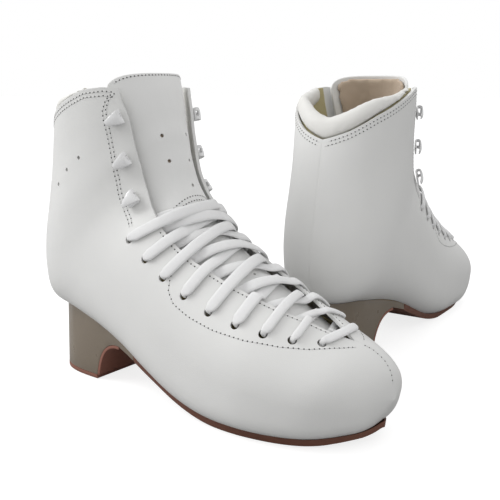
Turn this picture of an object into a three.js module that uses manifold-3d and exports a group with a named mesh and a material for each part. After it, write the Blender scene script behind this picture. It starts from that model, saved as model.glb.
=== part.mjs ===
// A pair of laced figure skating boots, without blades. Millimetres, +Z up, toes of the right boot to +X.
import * as THREE from "three";
import { mergeVertices } from "three/addons/utils/BufferGeometryUtils.js";
import Module from "manifold-3d";

const wasm = await Module();
wasm.setup();

// Driving dimensions.
const bootLength = 265;
const ballWidth = 96;
const shaftHeight = 212;
const heelHeight = 45;
const clearance = 0.3;
const leather = 2;
const stiffener = 1.4;
const lining = 1.6;
const laceThickness = 1.2;
const laceWidth = 7;
const laceRoom = 0.8;
const tongueLeather = 2;
const tonguePadding = 4;
const insoleBoard = 3;
const footbed = 3;
const soleThickness = 3;
const soleWelt = 1.5;
const heelLift = 3;
const breastCover = 2;
const eyeletDiameter = 5.6;
const padRise = 16;
const padThickness = 4.5;
const hookHeight = 6.5;
const hookWidth = 9;
const leftTurn = 94;
const leftHeel = new THREE.Vector2(156, 94);

// How deep each layer lies below the outer face of the upper.
const stiffenerTop = leather + clearance;
const liningTop = stiffenerTop + stiffener + clearance;
const laceDepth = leather + 2 * laceRoom + laceThickness / 2;
const liningFace = liningTop + lining;
const tongueTop = laceDepth + laceThickness / 2 + 2 * laceRoom;
const paddingTop = tongueTop + tongueLeather + clearance;
const footbedTop = insoleBoard + 2 * clearance;

const white = { color: 0xf1f0ee, roughness: 0.42, metalness: 0 };
const cream = { color: 0xe9e4d6, roughness: 0.7, metalness: 0 };
const suede = { color: 0xb9a873, roughness: 0.95, metalness: 0 };
const beige = { color: 0xc9b79c, roughness: 0.9, metalness: 0 };
const tan = { color: 0x86543f, roughness: 0.6, metalness: 0 };
const taupe = { color: 0x7d7466, roughness: 0.4, metalness: 0.2 };
const board = { color: 0xb08d62, roughness: 0.9, metalness: 0 };
const cotton = { color: 0xf6f5f3, roughness: 0.85, metalness: 0 };
const enamel = { color: 0xf4f3f1, roughness: 0.35, metalness: 0.3 };
const plastic = { color: 0xe8e8e6, roughness: 0.3, metalness: 0 };

// Sections of the last, from the tip of the toe, under the instep, to the collar. Each one is drawn
// between a point on the sole or the back seam and a point on the instep:
// sole x, z; instep x, z; lateral and medial half width; widest place; roundness above, below; middle y
const drawn = { length: 265, width: 96, height: 212, heel: 45 };
const stations = [
  [265, 26, 265, 26, 0, 0, 0.5, 2.2, 2.4, 13],
  [257, 11, 263, 39, 20, 20, 0.46, 2.2, 3.2, 11],
  [245, 6.5, 258, 48, 31, 30, 0.44, 2.2, 4, 8],
  [229, 4, 247, 57, 40, 37, 0.42, 2.2, 4.6, 5],
  [209, 3, 228, 67, 45, 43, 0.4, 2.2, 5, 2.5],
  [186, 3, 206, 79, 48, 46, 0.38, 2.2, 5, 0.5],
  [161, 4, 183, 92, 48.5, 47, 0.38, 2.1, 4.8, 0],
  [136, 9, 161, 106, 47.5, 46.5, 0.38, 2.1, 4.4, 0],
  [110, 19, 144, 118, 46.5, 46, 0.4, 2.1, 4, 0.5],
  [84, 30, 133, 129, 45, 45, 0.42, 2.1, 3.6, 1],
  [57, 38, 126, 140, 43.5, 44.5, 0.42, 2.1, 3.2, 1.5],
  [25, 44.5, 121, 149, 42, 44.5, 0.42, 2.1, 2.8, 2],
  [-3, 50, 118, 159, 41, 44.5, 0.42, 2.15, 2.45, 2],
  [-11, 67, 115, 168, 41, 44.5, 0.42, 2.2, 2.25, 2],
  [-11, 90, 113, 177, 41, 44, 0.45, 2.2, 2.2, 2],
  [-6, 115, 110, 186, 40.5, 43.5, 0.48, 2.2, 2.2, 2],
  [-1, 138, 108, 194, 40.5, 43.5, 0.5, 2.2, 2.2, 2],
  [3, 157, 106, 201, 41, 44, 0.5, 2.2, 2.2, 2],
  [6, 172, 104, 207, 41.5, 44.5, 0.5, 2.2, 2.2, 2],
  [8, 184, 102, 212, 42, 45, 0.5, 2.2, 2.2, 2],
  [10, 196, 100, 217, 42.5, 45.5, 0.5, 2.2, 2.2, 2],
];

// Places round a section are angles: 0 on the instep, plus on the lateral side, PI under the foot.
const vampEnd = 3.3;
const toeFeather = 0.85;
const heelFeather = 12.2;
const facingEdge = curve([
  [3.3, 0], [3.8, 0.12], [4.4, 0.22], [5, 0.34], [5.7, 0.45], [6.5, 0.56], [7.5, 0.66], [8.5, 0.72],
  [9.5, 0.76], [10.5, 0.74], [11.5, 0.7], [13, 0.69], [14.5, 0.75], [16, 0.8], [18, 0.86], [20, 0.88],
]);
const facingStrip = curve([[3.3, 0.3], [4, 0.44], [5, 0.56], [9, 0.55], [11, 0.46], [13, 0.38], [20, 0.38]]);
const feather = curve([
  [0, Math.PI], [0.85, Math.PI], [1.4, 2.8], [2, 2.66], [2.6, 2.6], [9.2, 2.6], [10.3, 2.66],
  [11.3, 2.78], [12.2, Math.PI], [20, Math.PI],
]);
const collar = curve([
  [0.7, 18.4], [0.9, 18.5], [1.1, 19], [1.4, 19.3], [1.75, 19.1], [2.27, 18.7], [2.72, 18.1], [3.15, 17.7],
]);
const rows = [
  0, 0.45, 0.85, 1.1, 1.6, 2.4, 3.3, 4, 4.8, 5.7, 6.6, 7.5, 8.4, 9.3, 10.3, 11.2, 11.9, 12.2, 13.2, 14.6,
  16.2, 20,
];
const eyelets = [
  { u: 10.3, angle: 1.13, middle: 8.9 },
  { u: 9.15, angle: 1.12, middle: 8.3 },
  { u: 8.15, angle: 1.07, middle: 7.55 },
  { u: 7.25, angle: 1.02, middle: 6.85 },
  { u: 6.42, angle: 0.96, middle: 6.15 },
  { u: 5.66, angle: 0.88, middle: 5.5 },
  { u: 4.96, angle: 0.77, middle: 4.85 },
  { u: 4.33, angle: 0.62, middle: 4.25 },
  { u: 3.76, angle: 0.4, middle: 3.65 },
];
const hooks = [{ u: 16.2, angle: 0.96 }, { u: 13.8, angle: 0.88 }, { u: 11.6, angle: 0.87 }];
const tongueSeam = 9.3;
const tongueFoot = 4;
const tongueWing = 0.24;

// Straight lines through hand-set pairs of a place and a value.
function curve(pairs) {
  return (at) => {
    const last = pairs.length - 1;
    if (at <= pairs[0][0]) return pairs[0][1];
    if (at >= pairs[last][0]) return pairs[last][1];
    const i = pairs.findIndex((pair) => pair[0] > at) - 1;
    const [from, start] = pairs[i];
    const [to, end] = pairs[i + 1];
    return start + ((end - start) * (at - from)) / (to - from);
  };
}

function scaledStations() {
  const scaleX = bootLength / drawn.length;
  const scaleY = ballWidth / drawn.width;
  const scaleZ = (shaftHeight - heelHeight) / (drawn.height - drawn.heel);
  const lift = (x) => THREE.MathUtils.clamp((150 - x) / 130, 0, 1) * (heelHeight - drawn.heel * scaleZ);
  return stations.map(([soleX, soleZ, instepX, instepZ, lateral, medial, widest, top, below, middle]) => [
    soleX * scaleX,
    Math.max(soleZ * scaleZ + lift(soleX), soleZ < 4.5 ? soleThickness : 0),
    instepX * scaleX,
    instepZ * scaleZ + lift(instepX),
    lateral * scaleY,
    medial * scaleY,
    widest,
    top,
    below,
    middle * scaleY,
  ]);
}

const sections = scaledStations();

function sectionAt(u) {
  const last = sections.length - 1;
  const place = THREE.MathUtils.clamp(u, 0, last);
  const i = Math.min(Math.floor(place), last - 1);
  const t = place - i;
  const before = sections[Math.max(i - 1, 0)];
  const after = sections[Math.min(i + 2, last)];
  return sections[i].map((start, k) => {
    const end = sections[i + 1][k];
    const bend = 2 * before[k] - 5 * start + 4 * end - after[k];
    const twist = 3 * start - before[k] - 3 * end + after[k];
    return 0.5 * (2 * start + (end - before[k]) * t + bend * t * t + twist * t * t * t);
  });
}

function outerPoint(u, angle) {
  const [soleX, soleZ, instepX, instepZ, lateral, medial, widest, top, below, middle] = sectionAt(u);
  const c = Math.cos(angle);
  const s = Math.sin(angle);
  const power = 2 / (c > 0 ? top : below);
  const reach = Math.abs(c) ** power;
  const along = c > 0 ? widest + (1 - widest) * reach : widest - widest * reach;
  const half = s > 0 ? lateral : medial;
  return new THREE.Vector3(
    soleX + (instepX - soleX) * along,
    middle - Math.sign(s) * half * Math.abs(s) ** power,
    soleZ + (instepZ - soleZ) * along,
  );
}

function outerNormal(u, angle) {
  if (u < 0.01) return new THREE.Vector3(1, 0, 0);
  const step = 0.02;
  const alongU = outerPoint(u + step, angle).sub(outerPoint(u - step, angle));
  const round = outerPoint(u, angle + step).sub(outerPoint(u, angle - step));
  return alongU.cross(round).normalize();
}

// A point of the boot: u from toe to collar, angle round the foot, depth below the outer face.
function bootPoint(u, angle, depth = 0) {
  return outerPoint(u, angle).addScaledVector(outerNormal(u, angle), -depth);
}

function millimetresPerRadian(u, angle) {
  return outerPoint(u, angle + 0.02).distanceTo(outerPoint(u, angle - 0.02)) / 0.04;
}

function geometryOf(points, triangles) {
  const geometry = new THREE.BufferGeometry();
  geometry.setAttribute("position", new THREE.Float32BufferAttribute(points.flatMap((p) => p.toArray()), 3));
  geometry.setIndex(triangles.flat());
  return geometry;
}

function solidOf(geometry) {
  const bare = geometry.clone();
  bare.deleteAttribute("normal");
  bare.deleteAttribute("uv");
  const merged = mergeVertices(bare, 1e-4);
  const index = [...merged.index.array];
  const kept = [];
  for (let i = 0; i < index.length; i += 3) {
    const [a, b, c] = index.slice(i, i + 3);
    if (a !== b && b !== c && c !== a) kept.push(a, b, c);
  }
  const positions = merged.attributes.position.array;
  const solid = new wasm.Manifold(
    new wasm.Mesh({ numProp: 3, vertProperties: positions, triVerts: Uint32Array.from(kept) }),
  );
  if (solid.volume() > 0) return solid;
  const turned = kept.map((v, i) => (i % 3 === 1 ? kept[i + 1] : i % 3 === 2 ? kept[i - 1] : v));
  return new wasm.Manifold(
    new wasm.Mesh({ numProp: 3, vertProperties: positions, triVerts: Uint32Array.from(turned) }),
  );
}

function meshOf(name, solid, finish) {
  const made = solid.getMesh();
  const geometry = new THREE.BufferGeometry();
  geometry.setAttribute("position", new THREE.BufferAttribute(made.vertProperties, 3));
  geometry.setIndex(new THREE.BufferAttribute(made.triVerts, 1));
  const flat = geometry.toNonIndexed();
  flat.computeVertexNormals();
  const mesh = new THREE.Mesh(flat, new THREE.MeshStandardMaterial(finish));
  mesh.name = name;
  return mesh;
}

// A closed solid between two faces of a grid of cells, with walls along the open edges.
function thicken(grid, has, top, bottom) {
  const points = [];
  const found = new Map();
  const indexOf = (point) => {
    const key = point.toArray().map((value) => Math.round(value * 1e3)).join();
    if (!found.has(key)) {
      found.set(key, points.length);
      points.push(point);
    }
    return found.get(key);
  };
  const faces = [top, bottom].map((depth) => grid.map((row) => row.map((at) => indexOf(at(depth)))));
  const triangles = [];
  const edges = new Map();
  const add = (a, b, c) => {
    if (a !== b && b !== c && c !== a) triangles.push([a, b, c]);
  };
  for (let i = 0; i + 1 < grid.length; i++) {
    for (let j = 0; j + 1 < grid[i].length; j++) {
      if (!has(i, j)) continue;
      const ring = [[i, j], [i, j + 1], [i + 1, j + 1], [i + 1, j]];
      const [a, b, c, d] = ring.map(([r, k]) => faces[0][r][k]);
      const [e, f, g, h] = ring.map(([r, k]) => faces[1][r][k]);
      if (new Set([a, b, c, d]).size < 3) continue;
      add(a, b, c);
      add(a, c, d);
      add(e, g, f);
      add(e, h, g);
      ring.forEach((from, k) => {
        const to = ring[(k + 1) % 4];
        const start = faces[0][from[0]][from[1]];
        const end = faces[0][to[0]][to[1]];
        if (start === end) return;
        const back = end + "," + start;
        if (edges.has(back)) edges.delete(back);
        else edges.set(start + "," + end, [start, end, faces[1][from[0]][from[1]], faces[1][to[0]][to[1]]]);
      });
    }
  }
  for (const [start, end, below, beyond] of edges.values()) {
    add(end, start, below);
    add(end, below, beyond);
  }
  return solidOf(geometryOf(points, triangles));
}

// A closed solid through rings of the same number of points. The caps follow a flat outline of the ring.
function loft(rings, outline) {
  const count = rings[0].length;
  const triangles = [];
  for (let i = 0; i + 1 < rings.length; i++) {
    for (let j = 0; j < count; j++) {
      const next = (j + 1) % count;
      const [a, b, c, d] = [i * count + j, i * count + next, (i + 1) * count + next, (i + 1) * count + j];
      triangles.push([a, b, c], [a, c, d]);
    }
  }
  const end = (rings.length - 1) * count;
  const isTurned = THREE.ShapeUtils.area(outline) < 0;
  for (const [a, b, c] of THREE.ShapeUtils.triangulateShape(outline, [])) {
    if (isTurned) triangles.push([a, b, c], [end + a, end + c, end + b]);
    else triangles.push([a, c, b], [end + a, end + b, end + c]);
  }
  return solidOf(geometryOf(rings.flat(), triangles));
}

function prism(outline, from, to, place) {
  const flat = outline.map(([x, y]) => new THREE.Vector2(x, y));
  return loft([from, to].map((level) => outline.map(([x, y]) => place(x, y, level))), flat);
}

const columnsPerSide = 7;

// Columns run from the medial feather edge, over the instep, to the lateral feather edge.
function sideAngles(u) {
  const edge = facingEdge(u);
  const strip = edge + facingStrip(u);
  const last = feather(u);
  const angles = [edge, (edge + strip) / 2, strip];
  const rest = columnsPerSide - 2;
  for (let k = 1; k <= rest; k++) angles.push(strip + ((last - strip) * k) / rest);
  return angles;
}

function upperGrid() {
  const count = 2 * (columnsPerSide + 1);
  return rows.map((row) =>
    Array.from({ length: count }, (_, j) => {
      const side = j < count / 2 ? -1 : 1;
      const k = j < count / 2 ? columnsPerSide - j : j - columnsPerSide - 1;
      const angle = sideAngles(Math.min(row, 19))[k];
      const u = row > 19 ? collar(angle) : row;
      return (depth) => bootPoint(u, side * angle, depth);
    }),
  );
}

const grid = upperGrid();
const rowOf = (u) => rows.indexOf(u);
const sideOf = (j) => (j < columnsPerSide ? -1 : j > columnsPerSide ? 1 : 0);
const columnOf = (j) => (j < columnsPerSide ? columnsPerSide - 1 - j : j - columnsPerSide - 1);
const inToe = (i) => i < rowOf(vampEnd);

function eyeletDrill(side, { u, angle }) {
  const normal = outerNormal(u, side * angle);
  const turn = new THREE.Quaternion().setFromUnitVectors(new THREE.Vector3(0, 1, 0), normal);
  const drill = new THREE.CylinderGeometry(eyeletDiameter / 2, eyeletDiameter / 2, 14, 6);
  drill.applyQuaternion(turn);
  drill.translate(...bootPoint(u, side * angle, 2).toArray());
  return solidOf(drill);
}

function sideDrills(side) {
  return eyelets.map((eyelet) => eyeletDrill(side, eyelet)).reduce((a, b) => a.add(b));
}

// A wall as thin as the clearance, standing on a plan line.
function seamCut(line, low, high) {
  const half = clearance / 2;
  const left = line.map(([x, y]) => [x, y + half]);
  const right = line.map(([x, y]) => [x, y - half]).reverse();
  return prism([...left, ...right], low, high, (x, y, z) => new THREE.Vector3(x, y, z));
}

function upperPanels() {
  const whole = thicken(grid, (i, j) => inToe(i) || sideOf(j) !== 0, 0, leather);
  const start = bootPoint(vampEnd, 0);
  const tip = bootPoint(0, 0);
  const toeSeam = seamCut(
    [[start.x - 6, start.y], [start.x + 6, start.y + 5], [tip.x - 8, tip.y + 4], [tip.x + 10, tip.y + 4]],
    0,
    start.z + 12,
  );
  const back = bootPoint(14, Math.PI);
  const backSeam = seamCut([[back.x - 20, back.y], [back.x + 35, back.y]], 40, shaftHeight + 40);
  const cut = whole.subtract(toeSeam).subtract(backSeam).subtract(sideDrills(-1)).subtract(sideDrills(1));
  const bodies = cut.decompose().sort((a, b) => b.volume() - a.volume());
  return { lateral: bodies[0], medial: bodies[1] };
}

function innerPieces() {
  const lined = (i, j) => inToe(i) || (sideOf(j) !== 0 && columnOf(j) >= 2);
  const counter = (i, j) => i >= rowOf(10.3) && i < rowOf(14.6) && sideOf(j) !== 0 && columnOf(j) >= 4;
  const puff = (i) => i < rowOf(2.4);
  return {
    lining: thicken(grid, lined, liningTop, liningFace),
    heel_counter: thicken(grid, counter, stiffenerTop, stiffenerTop + stiffener),
    toe_puff: thicken(grid, puff, stiffenerTop, stiffenerTop + stiffener),
  };
}

// A layer under the foot, between the feather edges.
function bottomLayer(top, bottom, margin) {
  const across = 6;
  const plan = rows.filter((u) => u > toeFeather && u < heelFeather).map((u) => {
    const first = Math.min(feather(u) + margin / millimetresPerRadian(u, feather(u)), Math.PI);
    return Array.from({ length: across + 1 }, (_, j) => {
      const angle = first + ((2 * Math.PI - 2 * first) * j) / across;
      return (depth) => bootPoint(u, angle, depth);
    });
  });
  return thicken(plan, () => true, top, bottom);
}

// The whole last as one solid, grown by the clearance: what the sole and the heel are shaped against.
function lastSolid() {
  const used = rows.filter((u) => u <= 19).concat(19);
  const rings = used.map((u) => {
    const side = sideAngles(u);
    const under = [1, 2, 3, 4].map((k) => side.at(-1) + ((Math.PI - side.at(-1)) * k) / 4);
    const half = [0, ...side, ...under];
    const angles = [...half, ...half.slice(1, -1).reverse().map((angle) => -angle)];
    return angles.map((angle) => bootPoint(u, angle, -clearance));
  });
  const tip = rings[0][0].clone();
  rings[0] = rings[0].map(() => tip.clone());
  const count = rings[0].length;
  const end = rings.at(-1).reduce((sum, p) => sum.add(p), new THREE.Vector3()).divideScalar(count);
  rings.push(rings.at(-1).map(() => end.clone()));
  const triangles = [];
  for (let i = 0; i + 1 < rings.length; i++) {
    for (let j = 0; j < count; j++) {
      const next = (j + 1) % count;
      const [a, b, c, d] = [i * count + j, i * count + next, (i + 1) * count + next, (i + 1) * count + j];
      triangles.push([a, b, c], [a, c, d]);
    }
  }
  return solidOf(geometryOf(rings.flat(), triangles));
}

// The plan of the feather edge: at x, how far it reaches to each side and how high it lies.
function featherPlan() {
  const samples = [];
  for (let u = toeFeather; u <= heelFeather; u += 0.1) {
    const angle = feather(u);
    const lateral = outerPoint(u, angle);
    const medial = outerPoint(u, -angle);
    samples.push({ x: lateral.x, z: lateral.z, lateral: lateral.y, medial: medial.y });
  }
  return samples.sort((a, b) => a.x - b.x);
}

const plan = featherPlan();

// How low the middle of the foot lies at x.
function footAt(x) {
  let best = outerPoint(toeFeather, Math.PI);
  for (let u = toeFeather; u <= heelFeather; u += 0.1) {
    const point = outerPoint(u, Math.PI);
    if (Math.abs(point.x - x) < Math.abs(best.x - x)) best = point;
  }
  return best.z;
}

function planAt(x) {
  const i = THREE.MathUtils.clamp(plan.findIndex((sample) => sample.x > x), 1, plan.length - 1);
  const [a, b] = [plan[i - 1], plan[i]];
  const t = THREE.MathUtils.clamp((x - a.x) / (b.x - a.x || 1), 0, 1);
  const mix = (key) => a[key] + (b[key] - a[key]) * t;
  return { z: mix("z"), lateral: mix("lateral"), medial: mix("medial") };
}

const heelTip = 94 * (bootLength / drawn.length);
const liftFront = 50 * (bootLength / drawn.length);
const liftBack = 1 * (bootLength / drawn.length);
const liftHalf = 25.5 * (ballWidth / drawn.width);
const heelSeat = heelHeight + 22;

function outsole(last) {
  const ahead = plan.at(-1).x;
  const steps = 15;
  const rings = [];
  for (let i = 0; i <= steps; i++) {
    const t = 1 - (1 - i / steps) ** 1.6;
    const x = heelTip + clearance + (ahead + soleWelt - heelTip - clearance) * t;
    const at = planAt(Math.min(x, ahead - 0.8));
    const close = Math.sqrt(Math.max(1 - (Math.max(x - ahead + 2, 0) / (soleWelt + 2)) ** 2, 0.02));
    const middle = (at.lateral + at.medial) / 2;
    const lateral = middle + (at.lateral - middle - soleWelt) * close;
    const medial = middle + (at.medial - middle + soleWelt) * close;
    const thickness = soleThickness * (0.5 + 0.5 * THREE.MathUtils.smoothstep(x, 110, 170));
    const bottom = Math.max(Math.min(at.z - thickness - 0.6, footAt(x) - thickness), 0);
    rings.push([
      new THREE.Vector3(x, lateral, at.z),
      new THREE.Vector3(x, lateral + 1, bottom),
      new THREE.Vector3(x, medial - 1, bottom),
      new THREE.Vector3(x, medial, at.z),
    ]);
  }
  const outline = rings[0].map((p) => new THREE.Vector2(p.y, p.z));
  return loft(rings, outline).subtract(last);
}

// The heel's plan outline between its seat and its foot, seen from above.
function heelOutline(level) {
  const side = [];
  const points = 9;
  for (let k = 0; k <= points; k++) {
    const t = k / points;
    const x = heelTip + (plan[0].x - 1 - heelTip) * t;
    const at = planAt(Math.max(x, plan[0].x + 0.1));
    side.push({ x, at, t });
  }
  const foot = ({ x, t }) => {
    const straight = THREE.MathUtils.clamp((x - liftFront) / (heelTip - liftFront), 0, 1);
    const share = (x - plan[0].x + 1) / (liftFront - plan[0].x + 1);
    const footX = x > liftFront ? x : liftBack + share * (liftFront - liftBack);
    return { straight, footX, t };
  };
  const edge = (entry, sign) => {
    const { straight, footX } = foot(entry);
    const seat = (sign < 0 ? entry.at.lateral : entry.at.medial) + sign * 0.8;
    const round = Math.sqrt(Math.max(1 - ((liftFront - footX) / (liftFront - liftBack)) ** 3.2, 0));
    const footY = straight > 0 ? liftHalf + (Math.abs(seat) - liftHalf) * straight : liftHalf * round;
    const y = entry.t === 1 ? 0 : sign * footY;
    const seatY = entry.t === 1 ? plan[0].lateral : seat;
    return new THREE.Vector3(footX + (entry.x - footX) * level, y + (seatY - y) * level, 0);
  };
  const lateral = side.map((entry) => edge(entry, -1));
  const medial = side.map((entry) => edge(entry, 1)).reverse();
  return [...lateral, ...medial.slice(1)];
}

function breastLine() {
  const arch = new THREE.CubicBezierCurve(
    new THREE.Vector2(liftFront, heelLift + clearance),
    new THREE.Vector2(liftFront + 3, heelHeight * 0.5),
    new THREE.Vector2(liftFront + 12, heelHeight * 0.68),
    new THREE.Vector2(liftFront + 27, heelHeight * 0.68),
  );
  const tip = new THREE.Vector2(heelTip + 1, planAt(heelTip).z - 5);
  return [...arch.getPoints(7), tip];
}

// The heel's outside, from its foot up into the seat of the boot.
function heelForm() {
  const levels = [heelLift + clearance, heelSeat];
  const rings = levels.map((z) => heelOutline(z / heelSeat).map((p) => new THREE.Vector3(p.x, p.y, z)));
  return loft(rings, rings[1].map((p) => new THREE.Vector2(p.x, p.y)));
}

function heelBlock(last) {
  const arch = breastLine().map((p) => [p.x, p.y]);
  const start = arch[0];
  const end = arch.at(-1);
  const top = heelSeat + 5;
  const profile = [[-40, start[1] - 1], [start[0], start[1] - 1], ...arch, [end[0], top], [-40, top]];
  const side = prism(profile, -70, 70, (x, z, y) => new THREE.Vector3(x, y, z));
  const bodies = heelForm().intersect(side).subtract(last).decompose();
  return bodies.sort((a, b) => low(a) - low(b))[0];
}

function low(solid) {
  return solid.boundingBox().min[2];
}

function heelTopLift() {
  const outline = heelOutline(0).filter((p) => p.x <= liftFront + 0.01);
  const front = [new THREE.Vector3(liftFront, liftHalf, 0), new THREE.Vector3(liftFront, -liftHalf, 0)];
  const ring = [front[1], ...outline.filter((p) => p.x < liftFront - 1), front[0]].map((p) => [p.x, p.y]);
  return prism(ring, 0, heelLift, (x, y, z) => new THREE.Vector3(x, y, z));
}

function heelBreastCover() {
  const arch = breastLine().slice(0, 8);
  const shifted = (gap) =>
    arch.map((p, i) => {
      const before = arch[Math.max(i - 1, 0)];
      const after = arch[Math.min(i + 1, arch.length - 1)];
      const along = after.clone().sub(before).normalize();
      return [p.x + along.y * gap, p.y - along.x * gap];
    });
  const outline = [...shifted(clearance), ...shifted(clearance + breastCover).reverse()];
  const band = prism(outline, -70, 70, (x, z, y) => new THREE.Vector3(x, y, z));
  return heelForm().intersect(band);
}

// The tongue's layers above or below its flex seam, cut from one grid.
function tonguePiece(from, to, isPadding) {
  const across = 8;
  const along = 5;
  const corner = (t) => Math.sqrt(Math.max(1 - t ** 4, 0));
  const cells = Array.from({ length: along + 1 }, (_, i) =>
    Array.from({ length: across + 1 }, (_, j) => {
      const side = (2 * j) / across - 1;
      const end = to > 18 ? to - 1 + corner(Math.abs(side)) : to;
      const u = from + ((end - from) * i) / along;
      const angle = side * (facingEdge(u) + tongueWing);
      return (depth) => bootPoint(u, angle, depth + toeDrop(u));
    }),
  );
  if (!isPadding) return thicken(cells, () => true, tongueTop, tongueTop + tongueLeather);
  return thicken(cells, (i, j) => j > 0 && j < across - 1, paddingTop, paddingTop + tonguePadding);
}

// The laces cross under the vamp end, so the tongue lies lower there.
function toeDrop(u) {
  return THREE.MathUtils.clamp((5.4 - u) / 1.2, 0, 1) * 1.6;
}

function collarPad() {
  const first = 1.45;
  const steps = 12;
  const profileAt = (angle) => {
    const edge = collar(Math.abs(angle));
    const back = THREE.MathUtils.smoothstep(Math.abs(angle), first, 2.7);
    const rise = 0.3 + (padRise / 14) * back;
    const face = liningFace + 4 * clearance;
    const inner = face + padThickness;
    return [
      [edge - 1.1, face], [edge - 1.1, inner - 1.5], [edge - 0.8, inner], [edge + rise - 0.2, inner],
      [edge + rise, inner - 2], [edge + rise, 4], [edge + rise - 0.25 * back, 2.2], [edge + 0.14, 1.6],
      [edge + 0.14, face],
    ];
  };
  const rings = Array.from({ length: steps + 1 }, (_, i) => {
    const angle = first + ((2 * Math.PI - 2 * first) * i) / steps;
    const signed = angle > Math.PI ? angle - 2 * Math.PI : angle;
    return profileAt(signed).map(([u, depth]) => bootPoint(u, signed, depth));
  });
  return loft(rings, profileAt(first).map(([u, depth]) => new THREE.Vector2(u, depth)));
}

function hookSolid(side, { u, angle }) {
  const place = bootPoint(u, side * angle, -clearance);
  const out = outerNormal(u, side * angle);
  const ahead = outerPoint(u, side * (angle - 0.02)).sub(outerPoint(u, side * (angle + 0.02))).normalize();
  const up = out.clone().cross(ahead).normalize();
  const metal = 1.2;
  const profile = [
    [-5, 0.3], [4, 0.3], [5.2, 1.4], [5.2, hookHeight - 1], [4, hookHeight], [-6, hookHeight],
    [-6, hookHeight - 1], [3.4, hookHeight - metal], [3.8, metal + 0.6], [-5, metal + 0.3],
  ];
  const at = (x, z, y) => {
    const taper = 1 + (x - 5) * 0.03;
    return place.clone().addScaledVector(ahead, x).addScaledVector(out, z).addScaledVector(up, y * taper);
  };
  return prism(profile, -hookWidth / 2, hookWidth / 2, at);
}

// The lace's route as ribbon stations: place on the boot, depth of its middle, and its width there.
const over = -(laceThickness / 2 + laceRoom + 0.2);
const bunched = 3;

function alongSurface(from, to, x) {
  const near = x > 0 ? from : to;
  const middle = to.middle + ((from.middle - to.middle) * (x + 1)) / 2;
  return { u: middle + (near.u - near.middle) * x * x, angle: near.side * near.angle * Math.abs(x) };
}

function crossing(from, to, isUpper, isUnder) {
  const scale = (eyelet) => millimetresPerRadian(eyelet.u, eyelet.side * eyelet.angle * 0.6) * eyelet.angle;
  const hole = scale(from);
  const farHole = scale(to);
  const edge = (facingEdge(from.u) / from.angle) * hole;
  const farEdge = (facingEdge(to.u) / to.angle) * farHole;
  const here = bootPoint(from.u, from.side * from.angle);
  const spacing = here.distanceTo(bootPoint(to.u, from.side * to.angle));
  const open = Math.min(edge, farEdge);
  const width = Math.max(Math.min(laceWidth, ((open - 3.5) * spacing) / hole - 0.4), 4.5);
  const zone = Math.min(((width + 0.4) * hole) / spacing, open - 5);
  const lie = isUpper ? 0 : 0.6;
  const route = isUnder
    ? [[hole - 4, laceDepth], [zone, laceDepth + lie], [0, laceDepth + (isUpper ? -0.9 : 0.7)],
      [-zone, laceDepth + lie], [4 - farHole, laceDepth]]
    : [[hole - 4, over], [edge - 0.5, over], [zone, isUpper ? 0.1 : 3.2], [0, isUpper ? 0.6 : 3.2],
      [-zone, isUpper ? 1.5 : 3.6], [3 - farEdge, laceDepth], [4 - farHole, laceDepth]];
  return route.map(([s, depth]) => {
    const x = s > 0 ? s / hole : s / farHole;
    return { ...alongSurface(from, to, x), depth, width };
  });
}

function throughHole({ u, angle, side }, goesIn) {
  const inside = { u, angle: side * angle, depth: laceDepth, width: bunched };
  const outside = { u, angle: side * angle, depth: over + 0.6, width: bunched };
  return goesIn ? [outside, inside] : [inside, outside];
}

// From the last eyelet of one side, up to the first, and the free end tucked inside.
function halfLace(startSide, isUpper) {
  const route = [];
  const last = eyelets.length - 1;
  const eyeletAt = (k, side) => ({ ...eyelets[k], side });
  let side = startSide;
  route.push(...throughHole(eyeletAt(last, side), true));
  for (let k = last; k > 0; k--) {
    const from = eyeletAt(k, side);
    const to = eyeletAt(k - 1, -side);
    route.push(...crossing(from, to, isUpper, k === last));
    route.push(...throughHole(to, false));
    side = -side;
  }
  return [...route, ...tuckedEnd(eyeletAt(0, side), isUpper)];
}

// Over the tongue, under the far facing, down the lining and along the footbed, forward and back.
function tuckedEnd(from, isUpper) {
  const far = -from.side;
  const floor = footbedTop + footbed + 0.5 + laceThickness / 2;
  const wall = liningFace + 0.7 + laceThickness / 2;
  const rest = (u, angle, depth) => ({ u, angle: far * angle, depth, width: laceWidth });
  const near = (share) => {
    const u = 9.1 + (from.u - 9.1) * share * share;
    return { u, angle: from.side * from.angle * share };
  };
  const edge = facingEdge(from.u);
  return [
    { ...near(0.92), depth: over, width: laceWidth },
    { ...near(0.8), depth: over, width: laceWidth },
    { ...near(edge / from.angle - 0.02), depth: over, width: laceWidth },
    { ...near(0.34), depth: isUpper ? 0.1 : 3.2, width: laceWidth },
    { ...near(0), depth: isUpper ? 0.6 : 3.2, width: laceWidth },
    rest(9.35, 0.38, isUpper ? 1.5 : 3.6),
    rest(9.9, 0.7, laceDepth),
    rest(10.3, 0.95, laceDepth + 0.1),
    rest(10.35, 1.26, wall),
    rest(10.1, 1.45, wall),
    rest(9.6, 1.7, wall),
    rest(9, 2, wall),
    rest(8.5, 2.3, wall + 0.6),
    rest(8, 2.62, floor + 0.9),
    rest(7.4, 2.8, floor),
    rest(6.5, 2.82, floor),
    rest(5.6, 2.82, floor),
    rest(4.9, 2.84, floor),
    rest(4.55, 2.94, floor),
    rest(4.75, 3.04, floor),
    rest(5.2, 3.07, floor + 1),
    rest(5.6, 3.07, floor + 1.9),
  ];
}

function laceRoute() {
  const end = eyelets.at(-1);
  const bar = [0.75, 0, -0.75].map((share) => ({
    u: end.middle + (end.u - end.middle) * share * share,
    angle: share * end.angle,
    depth: over,
    width: 5.5,
  }));
  return [...halfLace(1, true).reverse(), ...bar, ...halfLace(-1, false)];
}

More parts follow.
